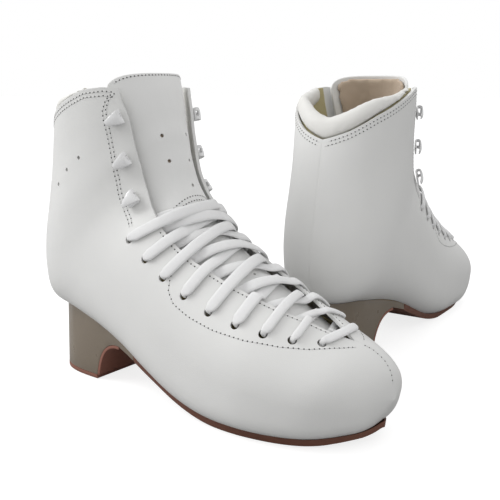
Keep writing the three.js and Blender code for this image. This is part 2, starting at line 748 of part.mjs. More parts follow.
function ribbon(route) {
  const points = route.map(({ u, angle, depth }) => bootPoint(u, angle, depth));
  let across = null;
  const rings = points.map((point, i) => {
    const { u, angle, width } = route[i];
    const before = points[Math.max(i - 1, 0)];
    const after = points[Math.min(i + 1, points.length - 1)];
    const into = point.clone().sub(before).normalize();
    const away = after.clone().sub(point).normalize();
    const along = into.add(away).normalize();
    const normal = outerNormal(Math.max(u, 0.1), angle);
    const flat = normal.clone().cross(along);
    if (flat.length() > 0.75 || !across) {
      flat.normalize();
      across = across && flat.dot(across) < 0 ? flat.negate() : flat;
    } else {
      across = across.clone().addScaledVector(along, -across.dot(along)).normalize();
    }
    const up = along.clone().cross(across);
    const half = laceThickness / 2;
    const corners = [[1, 1], [-1, 1], [-1, -1], [1, -1]];
    return corners.map(([w, h]) =>
      point.clone().addScaledVector(across, (w * width) / 2).addScaledVector(up, h * half),
    );
  });
  return loft(rings, [[1, 1], [-1, 1], [-1, -1], [1, -1]].map(([x, y]) => new THREE.Vector2(x, y)));
}

// A tipped end, in line with the last stretch of the lace.
function aglet(points) {
  const [before, end] = points;
  const along = end.clone().sub(before).normalize();
  const turn = new THREE.Quaternion().setFromUnitVectors(new THREE.Vector3(0, 1, 0), along);
  const tip = new THREE.CylinderGeometry(1.6, 1.6, 22, 8);
  tip.applyQuaternion(turn);
  tip.translate(...end.clone().addScaledVector(along, 11 + clearance).toArray());
  return solidOf(tip);
}

function boot(prefix) {
  const group = new THREE.Group();
  const add = (name, solid, finish) => group.add(meshOf(prefix + "_" + name, solid, finish));
  const last = lastSolid();
  const panels = upperPanels();
  const inner = innerPieces();
  const lace = laceRoute();
  const ends = lace.map(({ u, angle, depth }) => bootPoint(u, angle, depth));
  add("lateral_quarter", panels.lateral, white);
  add("medial_quarter", panels.medial, white);
  add("lining", inner.lining, suede);
  add("heel_counter", inner.heel_counter, board);
  add("toe_puff", inner.toe_puff, board);
  add("insole_board", bottomLayer(clearance, clearance + insoleBoard, 1.5), board);
  add("footbed", bottomLayer(footbedTop, footbedTop + footbed, 3), suede);
  add("outsole", outsole(last), tan);
  add("heel_block", heelBlock(last), taupe);
  add("heel_top_lift", heelTopLift(), tan);
  add("heel_breast_cover", heelBreastCover(), tan);
  add("tongue_upper", tonguePiece(tongueSeam + 0.05, 19.8, false), white);
  add("tongue_lower", tonguePiece(tongueFoot, tongueSeam, false), white);
  add("tongue_upper_padding", tonguePiece(tongueSeam + 0.05, 19.8, true), beige);
  add("tongue_lower_padding", tonguePiece(tongueFoot, tongueSeam, true), beige);
  add("collar_pad", collarPad(), cream);
  for (const [side, name] of [[1, "lateral"], [-1, "medial"]]) {
    hooks.forEach((hook, i) => add(name + "_hook_" + (i + 1), hookSolid(side, hook), enamel));
  }
  add("lace", ribbon(lace), cotton);
  add("lace_tip_1", aglet([ends[1], ends[0]]), plastic);
  add("lace_tip_2", aglet([ends.at(-2), ends.at(-1)]), plastic);
  return group;
}

const pair = new THREE.Group();
const right = boot("right");
const left = new THREE.Group();
const mirrored = boot("left");
mirrored.scale.y = -1;
left.add(mirrored);
left.rotation.z = THREE.MathUtils.degToRad(leftTurn);
left.position.set(leftHeel.x, leftHeel.y, 0);
pair.add(right, left);

const group = new THREE.Group();
group.add(pair);
group.updateMatrixWorld(true);
const box = new THREE.Box3().setFromObject(group);
const middle = box.getCenter(new THREE.Vector3());
pair.position.set(-middle.x, -middle.y, -box.min.z);

export default group;
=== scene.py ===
# A pair of laced figure skating boots, shaped in millimetres in the right boot's own space.
import math
from functools import lru_cache

import bmesh
import bpy
from mathutils import Matrix, Vector


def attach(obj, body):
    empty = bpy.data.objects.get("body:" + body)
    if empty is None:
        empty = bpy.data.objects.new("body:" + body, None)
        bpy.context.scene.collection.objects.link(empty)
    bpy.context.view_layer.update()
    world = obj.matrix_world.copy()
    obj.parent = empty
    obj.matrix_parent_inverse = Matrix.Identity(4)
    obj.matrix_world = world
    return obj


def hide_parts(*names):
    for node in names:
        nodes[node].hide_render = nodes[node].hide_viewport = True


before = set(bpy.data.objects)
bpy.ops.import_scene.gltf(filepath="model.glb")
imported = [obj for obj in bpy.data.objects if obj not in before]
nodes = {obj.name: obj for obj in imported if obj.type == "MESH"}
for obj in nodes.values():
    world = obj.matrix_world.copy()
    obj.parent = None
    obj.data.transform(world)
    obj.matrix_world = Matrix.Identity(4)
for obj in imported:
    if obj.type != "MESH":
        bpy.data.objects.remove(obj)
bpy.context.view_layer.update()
scene = bpy.context.scene
print("frame loaded:", len(nodes), "nodes")


# A new object in the scene that takes over the mesh.
def asObject(bm, name="shape"):
    mesh = bpy.data.meshes.new(name)
    bm.to_mesh(mesh)
    bm.free()
    obj = bpy.data.objects.new(name, mesh)
    scene.collection.objects.link(obj)
    return obj


# Camera: turned and risen in degrees, the rest in metres.
cameraView = {
    "turn": 37.47,
    "rise": 11.95,
    "away": 0.5079,
    "aside": 0.03042,
    "above": 0.00033,
    "target": (0.003281, -0.156254, 0.1),
    "lens": 55.82,
}


def placeCamera(view):
    turn, rise = math.radians(view["turn"]), math.radians(view["rise"])
    back = Vector((math.sin(turn) * math.cos(rise), -math.cos(turn) * math.cos(rise), math.sin(rise)))
    side = Vector((0, 0, 1)).cross(back).normalized()
    up = back.cross(side)
    data = bpy.data.cameras.new("viewCamera")
    data.sensor_width = 36
    data.lens = view["lens"]
    data.clip_start = 0.01
    data.clip_end = 50
    camera = bpy.data.objects.new("viewCamera", data)
    scene.collection.objects.link(camera)
    aim = Vector(view["target"])
    camera.location = aim + back * view["away"] + side * view["aside"] + up * view["above"]
    camera.rotation_mode = "QUATERNION"
    camera.rotation_quaternion = (-back).to_track_quat("-Z", "Y")
    scene.camera = camera


# Room: the floor and the sky read white only where the camera sees them.
room = {
    "floorSize": 24,
    "floorTone": (0.36, 0.36, 0.36, 1),
    "skyTone": (1, 1, 1, 1),
    "skyStrength": 0.75,
    "floorGlow": 0.8,
    "floorRough": 0.85,
    "floorDrop": 0.0004,
    "lampAim": (0, 0, 0.08),
    "lamps": [
        {"name": "softKey", "at": (-1.25, -0.95, 1.2), "size": 1.1, "power": 21},
        {"name": "softFill", "at": (1.3, -0.6, 0.9), "size": 1.4, "power": 1.5},
        {"name": "softBack", "at": (0.2, 1.4, 1.5), "size": 1.0, "power": 2},
    ],
}


def buildRoom(settings):
    world = bpy.data.worlds.new("studio")
    world.use_nodes = True
    tree = world.node_tree
    sky = tree.nodes["Background"]
    sky.inputs["Color"].default_value = settings["skyTone"]
    level = tree.nodes.new("ShaderNodeMapRange")
    level.inputs["To Min"].default_value = settings["skyStrength"]
    level.inputs["To Max"].default_value = 1.0
    tree.links.new(tree.nodes.new("ShaderNodeLightPath").outputs["Is Camera Ray"], level.inputs["Value"])
    tree.links.new(level.outputs["Result"], sky.inputs["Strength"])
    scene.world = world
    bm = bmesh.new()
    bmesh.ops.create_grid(bm, x_segments=2, y_segments=2, size=settings["floorSize"] / 2)
    floor = asObject(bm, "floor")
    floor.location.z = -settings["floorDrop"]
    paper = bpy.data.materials.new("floorPaper")
    paper.use_nodes = True
    tree = paper.node_tree
    surface = tree.nodes["Principled BSDF"]
    surface.inputs["Base Color"].default_value = settings["floorTone"]
    surface.inputs["Roughness"].default_value = settings["floorRough"]
    surface.inputs["Emission Color"].default_value = (1, 1, 1, 1)
    glow = tree.nodes.new("ShaderNodeMath")
    glow.operation = "MULTIPLY"
    glow.inputs[1].default_value = settings["floorGlow"]
    tree.links.new(tree.nodes.new("ShaderNodeLightPath").outputs["Is Camera Ray"], glow.inputs[0])
    tree.links.new(glow.outputs[0], surface.inputs["Emission Strength"])
    floor.data.materials.append(paper)
    for lamp in settings["lamps"]:
        data = bpy.data.lights.new(lamp["name"], "AREA")
        data.size = lamp["size"]
        data.energy = lamp["power"]
        light = bpy.data.objects.new(lamp["name"], data)
        scene.collection.objects.link(light)
        light.location = lamp["at"]
        aim = Vector(settings["lampAim"]) - light.location
        light.rotation_euler = aim.to_track_quat("-Z", "Y").to_euler()
    scene.view_settings.view_transform = "Standard"
    scene.view_settings.look = "None"


placeCamera(cameraView)
buildRoom(room)
print("camera and room ready")

# The shape of the boot: u is the section's place in this list, and angle 0 is the middle of the instep.
# sole x, z; instep x, z; lateral and medial half width; widest place; roundness above, below; middle y
lastSections = [
    (265, 26, 265, 26, 0, 0, 0.5, 2.2, 2.4, 13),
    (257, 11, 263, 39, 20, 20, 0.46, 2.2, 3.2, 11),
    (245, 6.5, 258, 48, 31, 30, 0.44, 2.2, 4, 8),
    (229, 4, 247, 57, 40, 37, 0.42, 2.2, 4.6, 5),
    (209, 3, 228, 67, 45, 43, 0.4, 2.2, 5, 2.5),
    (186, 3, 206, 79, 48, 46, 0.38, 2.2, 5, 0.5),
    (161, 4, 183, 92, 48.5, 47, 0.38, 2.1, 4.8, 0),
    (136, 9, 161, 106, 47.5, 46.5, 0.38, 2.1, 4.4, 0),
    (110, 19, 144, 118, 46.5, 46, 0.4, 2.1, 4, 0.5),
    (84, 30, 133, 129, 45, 45, 0.42, 2.1, 3.6, 1),
    (57, 38, 126, 140, 43.5, 44.5, 0.42, 2.1, 3.2, 1.5),
    (25, 44.5, 121, 149, 42, 44.5, 0.42, 2.1, 2.8, 2),
    (-3, 50, 118, 159, 41, 44.5, 0.42, 2.15, 2.45, 2),
    (-11, 67, 115, 168, 41, 44.5, 0.42, 2.2, 2.25, 2),
    (-11, 90, 113, 177, 41, 44, 0.45, 2.2, 2.2, 2),
    (-6, 115, 110, 186, 40.5, 43.5, 0.48, 2.2, 2.2, 2),
    (-1, 138, 108, 194, 40.5, 43.5, 0.5, 2.2, 2.2, 2),
    (3, 157, 106, 201, 41, 44, 0.5, 2.2, 2.2, 2),
    (6, 172, 104, 207, 41.5, 44.5, 0.5, 2.2, 2.2, 2),
    (8, 184, 102, 212, 42, 45, 0.5, 2.2, 2.2, 2),
    (10, 196, 100, 217, 42.5, 45.5, 0.5, 2.2, 2.2, 2),
]
# Depths below the outer face in millimetres.
layers = {
    "leather": 2, "lining": 4.0, "liningFace": 5.6, "lace": 4.2, "tongue": 6.4, "tongueBack": 8.4,
    "padding": 8.7, "paddingBack": 12.7, "footbed": 3.6, "footbedFace": 6.6, "gap": 0.3,
}
pair = {"origin": (-126.7195, -156.2542, 0), "leftHeel": (156, 94, 0), "leftTurn": 94}
placing = {"right": Matrix.Diagonal((0.001, 0.001, 0.001, 1)) @ Matrix.Translation(pair["origin"])}
placing["left"] = (
    placing["right"]
    @ Matrix.Translation(pair["leftHeel"])
    @ Matrix.Rotation(math.radians(pair["leftTurn"]), 4, "Z")
    @ Matrix.Diagonal((1, -1, 1, 1))
)


# Reads a list of (place, value) pairs with straight stretches between them.
def ramp(pairs):
    def read(at):
        if at <= pairs[0][0]:
            return pairs[0][1]
        for (fromAt, start), (toAt, end) in zip(pairs, pairs[1:]):
            if at <= toAt:
                return start + (end - start) * (at - fromAt) / (toAt - fromAt)
        return pairs[-1][1]

    return read


facingEdge = ramp([
    (3.3, 0), (3.8, 0.12), (4.4, 0.22), (5, 0.34), (5.7, 0.45), (6.5, 0.56), (7.5, 0.66), (8.5, 0.72),
    (9.5, 0.76), (10.5, 0.74), (11.5, 0.7), (13, 0.69), (14.5, 0.75), (16, 0.8), (18, 0.86), (20, 0.88),
])
facingStrip = ramp([(3.3, 0.3), (4, 0.44), (5, 0.56), (9, 0.55), (11, 0.46), (13, 0.38), (20, 0.38)])
toeSeam = ramp([(0, -0.18), (0.65, -0.1), (1.35, -0.16), (2.1, -0.2), (2.8, -0.16), (3.1, -0.07), (3.3, 0)])
feather = ramp([
    (0, math.pi), (0.85, math.pi), (1.4, 2.8), (2, 2.66), (2.6, 2.6), (9.2, 2.6), (10.3, 2.66),
    (11.3, 2.78), (12.2, math.pi), (20, math.pi),
])
collarLine = ramp([
    (0.7, 18.4), (0.9, 18.5), (1.1, 19), (1.4, 19.3), (1.75, 19.1), (2.27, 18.7), (2.72, 18.1), (3.15, 17.7),
])
# Each eyelet's row, angle, and the row where its laces cross the middle.
eyelets = [
    (10.3, 1.13, 8.9), (9.15, 1.12, 8.3), (8.15, 1.07, 7.55), (7.25, 1.02, 6.85), (6.42, 0.96, 6.15),
    (5.66, 0.88, 5.5), (4.96, 0.77, 4.85), (4.33, 0.62, 4.25), (3.76, 0.4, 3.65),
]
hookPlaces = [(16.2, 0.96), (13.8, 0.88), (11.6, 0.87)]


def clamp(value, low, high):
    return max(low, min(high, value))


def mix(start, end, share):
    return start + (end - start) * share


def smoothStep(value, low, high):
    x = clamp((value - low) / (high - low), 0, 1)
    return x * x * (3 - 2 * x)


@lru_cache(maxsize=None)
def sectionAt(u):
    last = len(lastSections) - 1
    place = clamp(u, 0, last)
    i = min(int(place), last - 1)
    t = place - i
    before, start = lastSections[max(i - 1, 0)], lastSections[i]
    end, after = lastSections[i + 1], lastSections[min(i + 2, last)]
    return [
        0.5 * (2 * b + (c - a) * t + (2 * a - 5 * b + 4 * c - d) * t * t + (3 * b - a - 3 * c + d) * t**3)
        for a, b, c, d in zip(before, start, end, after)
    ]


# A place on the outer face in millimetres.
def outerPoint(u, angle):
    soleX, soleZ, instepX, instepZ, lateral, medial, widest, top, below, middle = sectionAt(u)
    c, s = math.cos(angle), math.sin(angle)
    power = 2 / (top if c > 0 else below)
    reach = abs(c) ** power
    along = widest + (1 - widest) * reach if c > 0 else widest - widest * reach
    half = lateral if s > 0 else medial
    across = middle - math.copysign(half * abs(s) ** power, s)
    return Vector((soleX + (instepX - soleX) * along, across, soleZ + (instepZ - soleZ) * along))


def outerNormal(u, angle):
    if u < 0.01:
        return Vector((1, 0, 0))
    step = 0.02
    alongBoot = outerPoint(u + step, angle) - outerPoint(u - step, angle)
    around = outerPoint(u, angle + step) - outerPoint(u, angle - step)
    return alongBoot.cross(around).normalized()


def bootPoint(u, angle, depth=0.0):
    return outerPoint(u, angle) - outerNormal(u, angle) * depth


def mmPerRadian(u, angle):
    return (outerPoint(u, angle + 0.02) - outerPoint(u, angle - 0.02)).length / 0.04


def mmPerRow(u, angle):
    return max((outerPoint(u + 0.1, angle) - outerPoint(u - 0.1, angle)).length / 0.2, 4)


# How far the tongue sinks where the toe holds it down.
def toeDrop(u):
    return clamp((5.4 - u) / 1.2, 0, 1) * 1.6


# Finishes.
vectorInput = ("Vector", "NodeSocketVector", None)


def groupOf(name, inputs, outputs):
    group = bpy.data.node_groups.new(name, "ShaderNodeTree")
    for label, kind, value in inputs:
        socket = group.interface.new_socket(label, in_out="INPUT", socket_type=kind)
        if value is not None:
            socket.default_value = value
    for label, kind in outputs:
        group.interface.new_socket(label, in_out="OUTPUT", socket_type=kind)
    return group, group.nodes.new("NodeGroupInput"), group.nodes.new("NodeGroupOutput")


def mathNode(tree, operation, a, b):
    node = tree.nodes.new("ShaderNodeMath")
    node.operation = operation
    for socket, value in zip(node.inputs, (a, b)):
        if isinstance(value, (int, float)):
            socket.default_value = value
        else:
            tree.links.new(value, socket)
    return node.outputs[0]


def textureIn(group, given, kind, scale, settings):
    node = group.nodes.new(kind)
    group.links.new(given.outputs["Vector"], node.inputs["Vector"])
    group.links.new(given.outputs[scale], node.inputs["Scale"])
    for label, value in settings.items():
        node.inputs[label].default_value = value
    return node


def buildHideGrain():
    group, given, result = groupOf(
        "hideGrain",
        [vectorInput, ("Pores", "NodeSocketFloat", 900.0), ("Creases", "NodeSocketFloat", 60.0)],
        [("Height", "NodeSocketFloat"), ("Mask", "NodeSocketFloat")],
    )
    pores = textureIn(group, given, "ShaderNodeTexVoronoi", "Pores", {})
    pores.feature = "DISTANCE_TO_EDGE"
    creases = textureIn(group, given, "ShaderNodeTexNoise", "Creases", {"Detail": 5, "Distortion": 0.4})
    fine = mathNode(group, "MINIMUM", pores.outputs["Distance"], 0.28)
    group.links.new(mathNode(group, "ADD", fine, creases.outputs["Fac"]), result.inputs["Height"])
    group.links.new(creases.outputs["Fac"], result.inputs["Mask"])
    return group


def buildToneDrift():
    tones = [(label, "NodeSocketColor", (0.8, 0.8, 0.8, 1)) for label in ("Tone", "Second")]
    group, given, result = groupOf(
        "toneDrift",
        [vectorInput, ("Scale", "NodeSocketFloat", 14.0)] + tones,
        [("Color", "NodeSocketColor"), ("Mask", "NodeSocketFloat")],
    )
    noise = textureIn(group, given, "ShaderNodeTexNoise", "Scale", {"Detail": 6})
    mix = group.nodes.new("ShaderNodeMix")
    mix.data_type = "RGBA"
    group.links.new(noise.outputs["Fac"], mix.inputs["Factor"])
    group.links.new(given.outputs["Tone"], mix.inputs[6])
    group.links.new(given.outputs["Second"], mix.inputs[7])
    group.links.new(mix.outputs[2], result.inputs["Color"])
    group.links.new(noise.outputs["Fac"], result.inputs["Mask"])
    return group


def buildWear():
    group, given, result = groupOf(
        "surfaceWear",
        [
            vectorInput, ("Scale", "NodeSocketFloat", 30.0),
            ("Least", "NodeSocketFloat", 0.35), ("Most", "NodeSocketFloat", 0.5),
        ],
        [("Roughness", "NodeSocketFloat")],
    )
    noise = textureIn(group, given, "ShaderNodeTexNoise", "Scale", {"Detail": 8, "Roughness": 0.6})
    spread = group.nodes.new("ShaderNodeMapRange")
    spread.inputs["From Min"].default_value = 0.3
    spread.inputs["From Max"].default_value = 0.7
    group.links.new(noise.outputs["Fac"], spread.inputs["Value"])
    group.links.new(given.outputs["Least"], spread.inputs["To Min"])
    group.links.new(given.outputs["Most"], spread.inputs["To Max"])
    group.links.new(spread.outputs["Result"], result.inputs["Roughness"])
    return group


def buildWeave():
    group, given, result = groupOf(
        "crossWeave",
        [vectorInput, ("Threads", "NodeSocketFloat", 1.0)],
        [("Height", "NodeSocketFloat"), ("Mask", "NodeSocketFloat")],
    )
    heights = []
    for turn in (38, -38):
        lean = group.nodes.new("ShaderNodeMapping")
        lean.inputs["Rotation"].default_value = (0, 0, math.radians(turn))
        wave = textureIn(group, given, "ShaderNodeTexWave", "Threads", {"Distortion": 0.6, "Detail": 1})
        group.links.new(given.outputs["Vector"], lean.inputs["Vector"])
        group.links.new(lean.outputs["Vector"], wave.inputs["Vector"])
        heights.append(wave.outputs["Fac"])
    group.links.new(mathNode(group, "MAXIMUM", *heights), result.inputs["Height"])
    group.links.new(mathNode(group, "MULTIPLY", *heights), result.inputs["Mask"])
    return group


hideGrain = buildHideGrain()
toneDrift = buildToneDrift()
surfaceWear = buildWear()
crossWeave = buildWeave()


def useGroup(tree, group, vector, values):
    node = tree.nodes.new("ShaderNodeGroup")
    node.node_tree = group
    tree.links.new(vector, node.inputs["Vector"])
    for label, value in values.items():
        node.inputs[label].default_value = value
    return node


shaderSockets = {
    "specular": "Specular IOR Level", "coat": "Coat Weight", "coatRough": "Coat Roughness",
    "sheen": "Sheen Weight", "metal": "Metallic",
}


# A surface in two drifting tones with worn gloss, and with grain or a weave as its relief.
def finishOf(name, look):
    material = bpy.data.materials.new(name)
    material.use_nodes = True
    tree = material.node_tree
    surface = tree.nodes["Principled BSDF"]
    for key, label in shaderSockets.items():
        if key in look:
            surface.inputs[label].default_value = look[key]
    where = tree.nodes.new("ShaderNodeTexCoord")
    vector = where.outputs["UV" if look.get("sewn") else "Object"]
    drift = {"Scale": look["drift"], "Tone": (*look["tone"], 1), "Second": (*look["second"], 1)}
    tones = useGroup(tree, toneDrift, vector, drift)
    tree.links.new(tones.outputs["Color"], surface.inputs["Base Color"])
    least, most = look["rough"]
    wear = useGroup(tree, surfaceWear, vector, {"Scale": look["drift"] * 2.5, "Least": least, "Most": most})
    tree.links.new(wear.outputs["Roughness"], surface.inputs["Roughness"])
    if look.get("sewn"):
        relief = useGroup(tree, crossWeave, vector, {"Threads": look["threads"]})
    else:
        relief = useGroup(tree, hideGrain, vector, {"Pores": look["pores"], "Creases": look["creases"]})
    bump = tree.nodes.new("ShaderNodeBump")
    bump.inputs["Strength"].default_value = look["relief"]
    bump.inputs["Distance"].default_value = look["depth"]
    tree.links.new(relief.outputs["Height"], bump.inputs["Height"])
    tree.links.new(bump.outputs["Normal"], surface.inputs["Normal"])
    return material


looks = {
    "upperHide": {
        "tone": (0.79, 0.79, 0.775), "second": (0.74, 0.74, 0.73), "drift": 22, "rough": (0.34, 0.46),
        "pores": 1500, "creases": 75, "relief": 0.28, "depth": 0.0005,
        "specular": 0.45, "coat": 0.12, "coatRough": 0.3,
    },
    "tongueHide": {
        "tone": (0.83, 0.83, 0.82), "second": (0.79, 0.79, 0.78), "drift": 26, "rough": (0.36, 0.48),
        "pores": 1400, "creases": 60, "relief": 0.3, "depth": 0.0005,
        "specular": 0.45, "coat": 0.1, "coatRough": 0.32,
    },
    "collarHide": {
        "tone": (0.79, 0.785, 0.76), "second": (0.73, 0.72, 0.69), "drift": 30, "rough": (0.42, 0.55),
        "pores": 1100, "creases": 120, "relief": 0.45, "depth": 0.0006,
        "specular": 0.4,
    },
    "beigeFelt": {
        "tone": (0.56, 0.45, 0.35), "second": (0.48, 0.38, 0.29), "drift": 60, "rough": (0.8, 0.95),
        "pores": 2600, "creases": 320, "relief": 0.5, "depth": 0.0004,
        "sheen": 0.25, "specular": 0.2,
    },
    "oliveSuede": {
        "tone": (0.55, 0.49, 0.27), "second": (0.44, 0.38, 0.2), "drift": 50, "rough": (0.85, 0.97),
        "pores": 2400, "creases": 400, "relief": 0.6, "depth": 0.0004,
        "sheen": 0.35, "specular": 0.15,
    },
    "footbedSuede": {
        "tone": (0.5, 0.43, 0.27), "second": (0.4, 0.34, 0.21), "drift": 45, "rough": (0.85, 0.97),
        "pores": 2200, "creases": 350, "relief": 0.6, "depth": 0.0004,
        "sheen": 0.3, "specular": 0.15,
    },
    "fibreBoard": {
        "tone": (0.42, 0.3, 0.17), "second": (0.34, 0.23, 0.13), "drift": 90, "rough": (0.75, 0.92),
        "pores": 900, "creases": 600, "relief": 0.4, "depth": 0.0004,
        "specular": 0.2,
    },
    "soleHide": {
        "tone": (0.2, 0.085, 0.055), "second": (0.14, 0.058, 0.038), "drift": 70, "rough": (0.42, 0.6),
        "pores": 700, "creases": 260, "relief": 0.35, "depth": 0.0005,
        "specular": 0.4,
    },
    "heelSatin": {
        "tone": (0.21, 0.17, 0.125), "second": (0.175, 0.14, 0.103), "drift": 35, "rough": (0.26, 0.38),
        "pores": 1800, "creases": 110, "relief": 0.12, "depth": 0.0004,
        "specular": 0.55, "coat": 0.25, "coatRough": 0.2,
    },
    "breastHide": {
        "tone": (0.32, 0.14, 0.1), "second": (0.23, 0.095, 0.068), "drift": 60, "rough": (0.45, 0.6),
        "pores": 900, "creases": 200, "relief": 0.3, "depth": 0.0004,
        "specular": 0.4,
    },
    "liftRubber": {
        "tone": (0.27, 0.12, 0.085), "second": (0.2, 0.085, 0.06), "drift": 80, "rough": (0.5, 0.66),
        "pores": 1200, "creases": 300, "relief": 0.3, "depth": 0.0004,
        "specular": 0.35,
    },
    "laceCotton": {
        "tone": (0.9, 0.9, 0.9), "second": (0.84, 0.84, 0.84), "drift": 0.6, "rough": (0.72, 0.88),
        "sewn": True, "threads": 0.62, "relief": 0.4, "depth": 0.0006,
        "sheen": 0.2, "specular": 0.25,
    },
    "seamThread": {
        "tone": (0.8, 0.8, 0.79), "second": (0.68, 0.68, 0.67), "drift": 400, "rough": (0.55, 0.75),
        "pores": 4000, "creases": 1500, "relief": 0.4, "depth": 0.0002,
        "specular": 0.3,
    },
    # Near black: painted shade for the inside of the needle holes.
    "paintedHoleShade": {
        "tone": (0.05, 0.05, 0.052), "second": (0.025, 0.025, 0.026), "drift": 300, "rough": (0.8, 0.95),
        "pores": 3000, "creases": 900, "relief": 0.2, "depth": 0.0002,
        "specular": 0.1,
    },
    "hookEnamel": {
        "tone": (0.82, 0.82, 0.82), "second": (0.77, 0.77, 0.775), "drift": 120, "rough": (0.2, 0.32),
        "pores": 700, "creases": 240, "relief": 0.06, "depth": 0.0003,
        "specular": 0.6, "coat": 0.4, "coatRough": 0.12,
    },
    "rivetSteel": {
        "tone": (0.5, 0.5, 0.5), "second": (0.38, 0.38, 0.39), "drift": 200, "rough": (0.25, 0.42),
        "pores": 1500, "creases": 500, "relief": 0.1, "depth": 0.0002,
        "metal": 1.0,
    },
    "tipPlastic": {
        "tone": (0.75, 0.75, 0.74), "second": (0.66, 0.66, 0.65), "drift": 150, "rough": (0.2, 0.35),
        "pores": 900, "creases": 200, "relief": 0.08, "depth": 0.0002,
        "specular": 0.6,
    },
}
finishes = {name: finishOf(name, look) for name, look in looks.items()}
print("finishes ready:", len(finishes))


# Shaping and placing. A place(s, t) below gets both numbers from 0 to 1.
def mappedGrid(bm, across, along, place):
    made = bmesh.ops.create_grid(bm, x_segments=across, y_segments=along, size=1)
    for v in made["verts"]:
        v.co = place((v.co.x + 1) / 2, (v.co.y + 1) / 2)


def closeUp(bm, dist=0.02):
    bmesh.ops.remove_doubles(bm, verts=bm.verts, dist=dist)
    bmesh.ops.dissolve_degenerate(bm, edges=bm.edges, dist=0.005)


# Rounds the edges whose faces turn by more than least, in radians.
def roundEdges(bm, size, least=1.0):
    sharp = [e for e in bm.edges if len(e.link_faces) == 2 and e.calc_face_angle(0) > least]
    if sharp:
        bmesh.ops.bevel(
            bm, geom=sharp, offset=size, offset_type="OFFSET", affect="EDGES", segments=2,
            profile=0.5, material=-1, clamp_overlap=True,
        )


def splitFaces(bm):
    bmesh.ops.triangulate(bm, faces=[f for f in bm.faces if len(f.verts) > 4])


# A closed layer of the boot between two depths, through patches of (across, along, place).
def layerOf(patches, top, bottom, edge=0.5):
    bm = bmesh.new()
    rowMark = bm.verts.layers.float.new("row")
    turnMark = bm.verts.layers.float.new("turn")
    for across, along, place in patches:
        made = bmesh.ops.create_grid(bm, x_segments=across, y_segments=along, size=1)
        for v in made["verts"]:
            u, angle = place((v.co.x + 1) / 2, (v.co.y + 1) / 2)
            v[rowMark], v[turnMark] = u, angle
            v.co = bootPoint(u, angle, top(u, angle) if callable(top) else top)
    closeUp(bm)
    copied = bmesh.ops.extrude_face_region(bm, geom=bm.faces[:], use_keep_orig=True)
    for v in copied["geom"]:
        if isinstance(v, bmesh.types.BMVert):
            u, angle = v[rowMark], v[turnMark]
            v.co = bootPoint(u, angle, bottom(u, angle) if callable(bottom) else bottom)
    bmesh.ops.recalc_face_normals(bm, faces=bm.faces)
    roundEdges(bm, edge)
    return bm


def capEnds(bm):
    bmesh.ops.holes_fill(bm, edges=[e for e in bm.edges if e.is_boundary], sides=0)
    bmesh.ops.recalc_face_normals(bm, faces=bm.faces)


# A closed ring of pairs, read at share s of the way round.
def ringAt(ring, s):
    at = (s % 1.0) * len(ring)
    i = int(at)
    return [mix(a, b, at - i) for a, b in zip(ring[i % len(ring)], ring[(i + 1) % len(ring)])]


def signedTurn(angle):
    return angle - 2 * math.pi if angle > math.pi else angle


# A closed body round a path, where s goes once round.
def tubeOf(around, along, place):
    bm = bmesh.new()
    mappedGrid(bm, around, along, place)
    closeUp(bm)
    capEnds(bm)
    return bm


def discard(obj):
    mesh = obj.data
    bpy.data.objects.remove(obj)
    bpy.data.meshes.remove(mesh)


def evaluated(obj):
    bpy.context.view_layer.update()
    graph = bpy.context.evaluated_depsgraph_get()
    return bpy.data.meshes.new_from_object(obj.evaluated_get(graph))


# Uses up both meshes and returns a new one.
def boolean(bm, cutter, operation="DIFFERENCE"):
    body, tool = asObject(bm), asObject(cutter)
    cut = body.modifiers.new("cut", "BOOLEAN")
    cut.operation = operation
    cut.solver = "EXACT"
    cut.object = tool
    mesh = evaluated(body)
    discard(body)
    discard(tool)
    made = bmesh.new()
    made.from_mesh(mesh)
    bpy.data.meshes.remove(mesh)
    return made


# Adds a piece to both boots, rides it on its body, and hides the nodes it stands for.
def addPiece(name, bm, finish, body="boots", stands=(), smooth=38, soft=None):
    for boot in ("right", "left"):
        copy = bm.copy()
        copy.transform(placing[boot])
        if boot == "left":
            bmesh.ops.reverse_faces(copy, faces=copy.faces)
        mesh = bpy.data.meshes.new(boot + "_" + name)
        copy.to_mesh(mesh)
        copy.free()
        mesh.polygons.foreach_set("use_smooth", [True] * len(mesh.polygons))
        mesh.set_sharp_from_angle(angle=math.radians(smooth))
        mesh.materials.append(finishes[finish])
        obj = bpy.data.objects.new(boot + "_" + name, mesh)
        scene.collection.objects.link(obj)
        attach(obj, boot + "_upper_tongue" if body == "tongue" else "boots")
        if stands:
            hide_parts(*[boot + "_" + node for node in stands])
        if soft is not None:
            if not soft.get("plain"):
                extra = obj.modifiers.new("softer", "SUBSURF")
                extra.levels = extra.render_levels = 1
    bm.free()


# Drills.
drillSizes = {"eyelet": 2.8, "vent": 1.3, "tongueHole": 1.25, "lowHole": 1.0, "length": 16}
ventPlaces = [(15.45, 1.52), (15.36, 1.7), (15.1, 1.87)]
tongueHoles = [(14.09, 0.33), (12.35, 0.3), (13.99, -0.26), (12.12, -0.18), (10.54, -0.07)]
lowTongueHoles = [(8.1, 0.05), (8.35, 0.51), (7.12, 0.13), (7.31, 0.5), (7.9, -0.42), (6.3, 0.02), (6.0, 0.3)]


# Turns +Z to stand straight out of the boot.
def standing(u, angle):
    return outerNormal(u, angle).to_track_quat("Z", "Y").to_matrix().to_4x4()


def drillsAt(places, radius, depth=2.0):
    bm = bmesh.new()
    for u, angle in places:
        bmesh.ops.create_cone(
            bm, cap_ends=True, segments=20, radius1=radius, radius2=radius, depth=drillSizes["length"],
            matrix=Matrix.Translation(bootPoint(u, angle, depth)) @ standing(u, angle),
        )
    return bm


# Upper.
upper = {"across": 76, "along": 170, "edge": 0.55}


# The upper rows end at the collar line.
def rowAt(t, angle):
    top = collarLine(abs(angle))
    u = 20 * t
    return u if u < 16 else 16 + (top - 16) * (u - 16) / 4


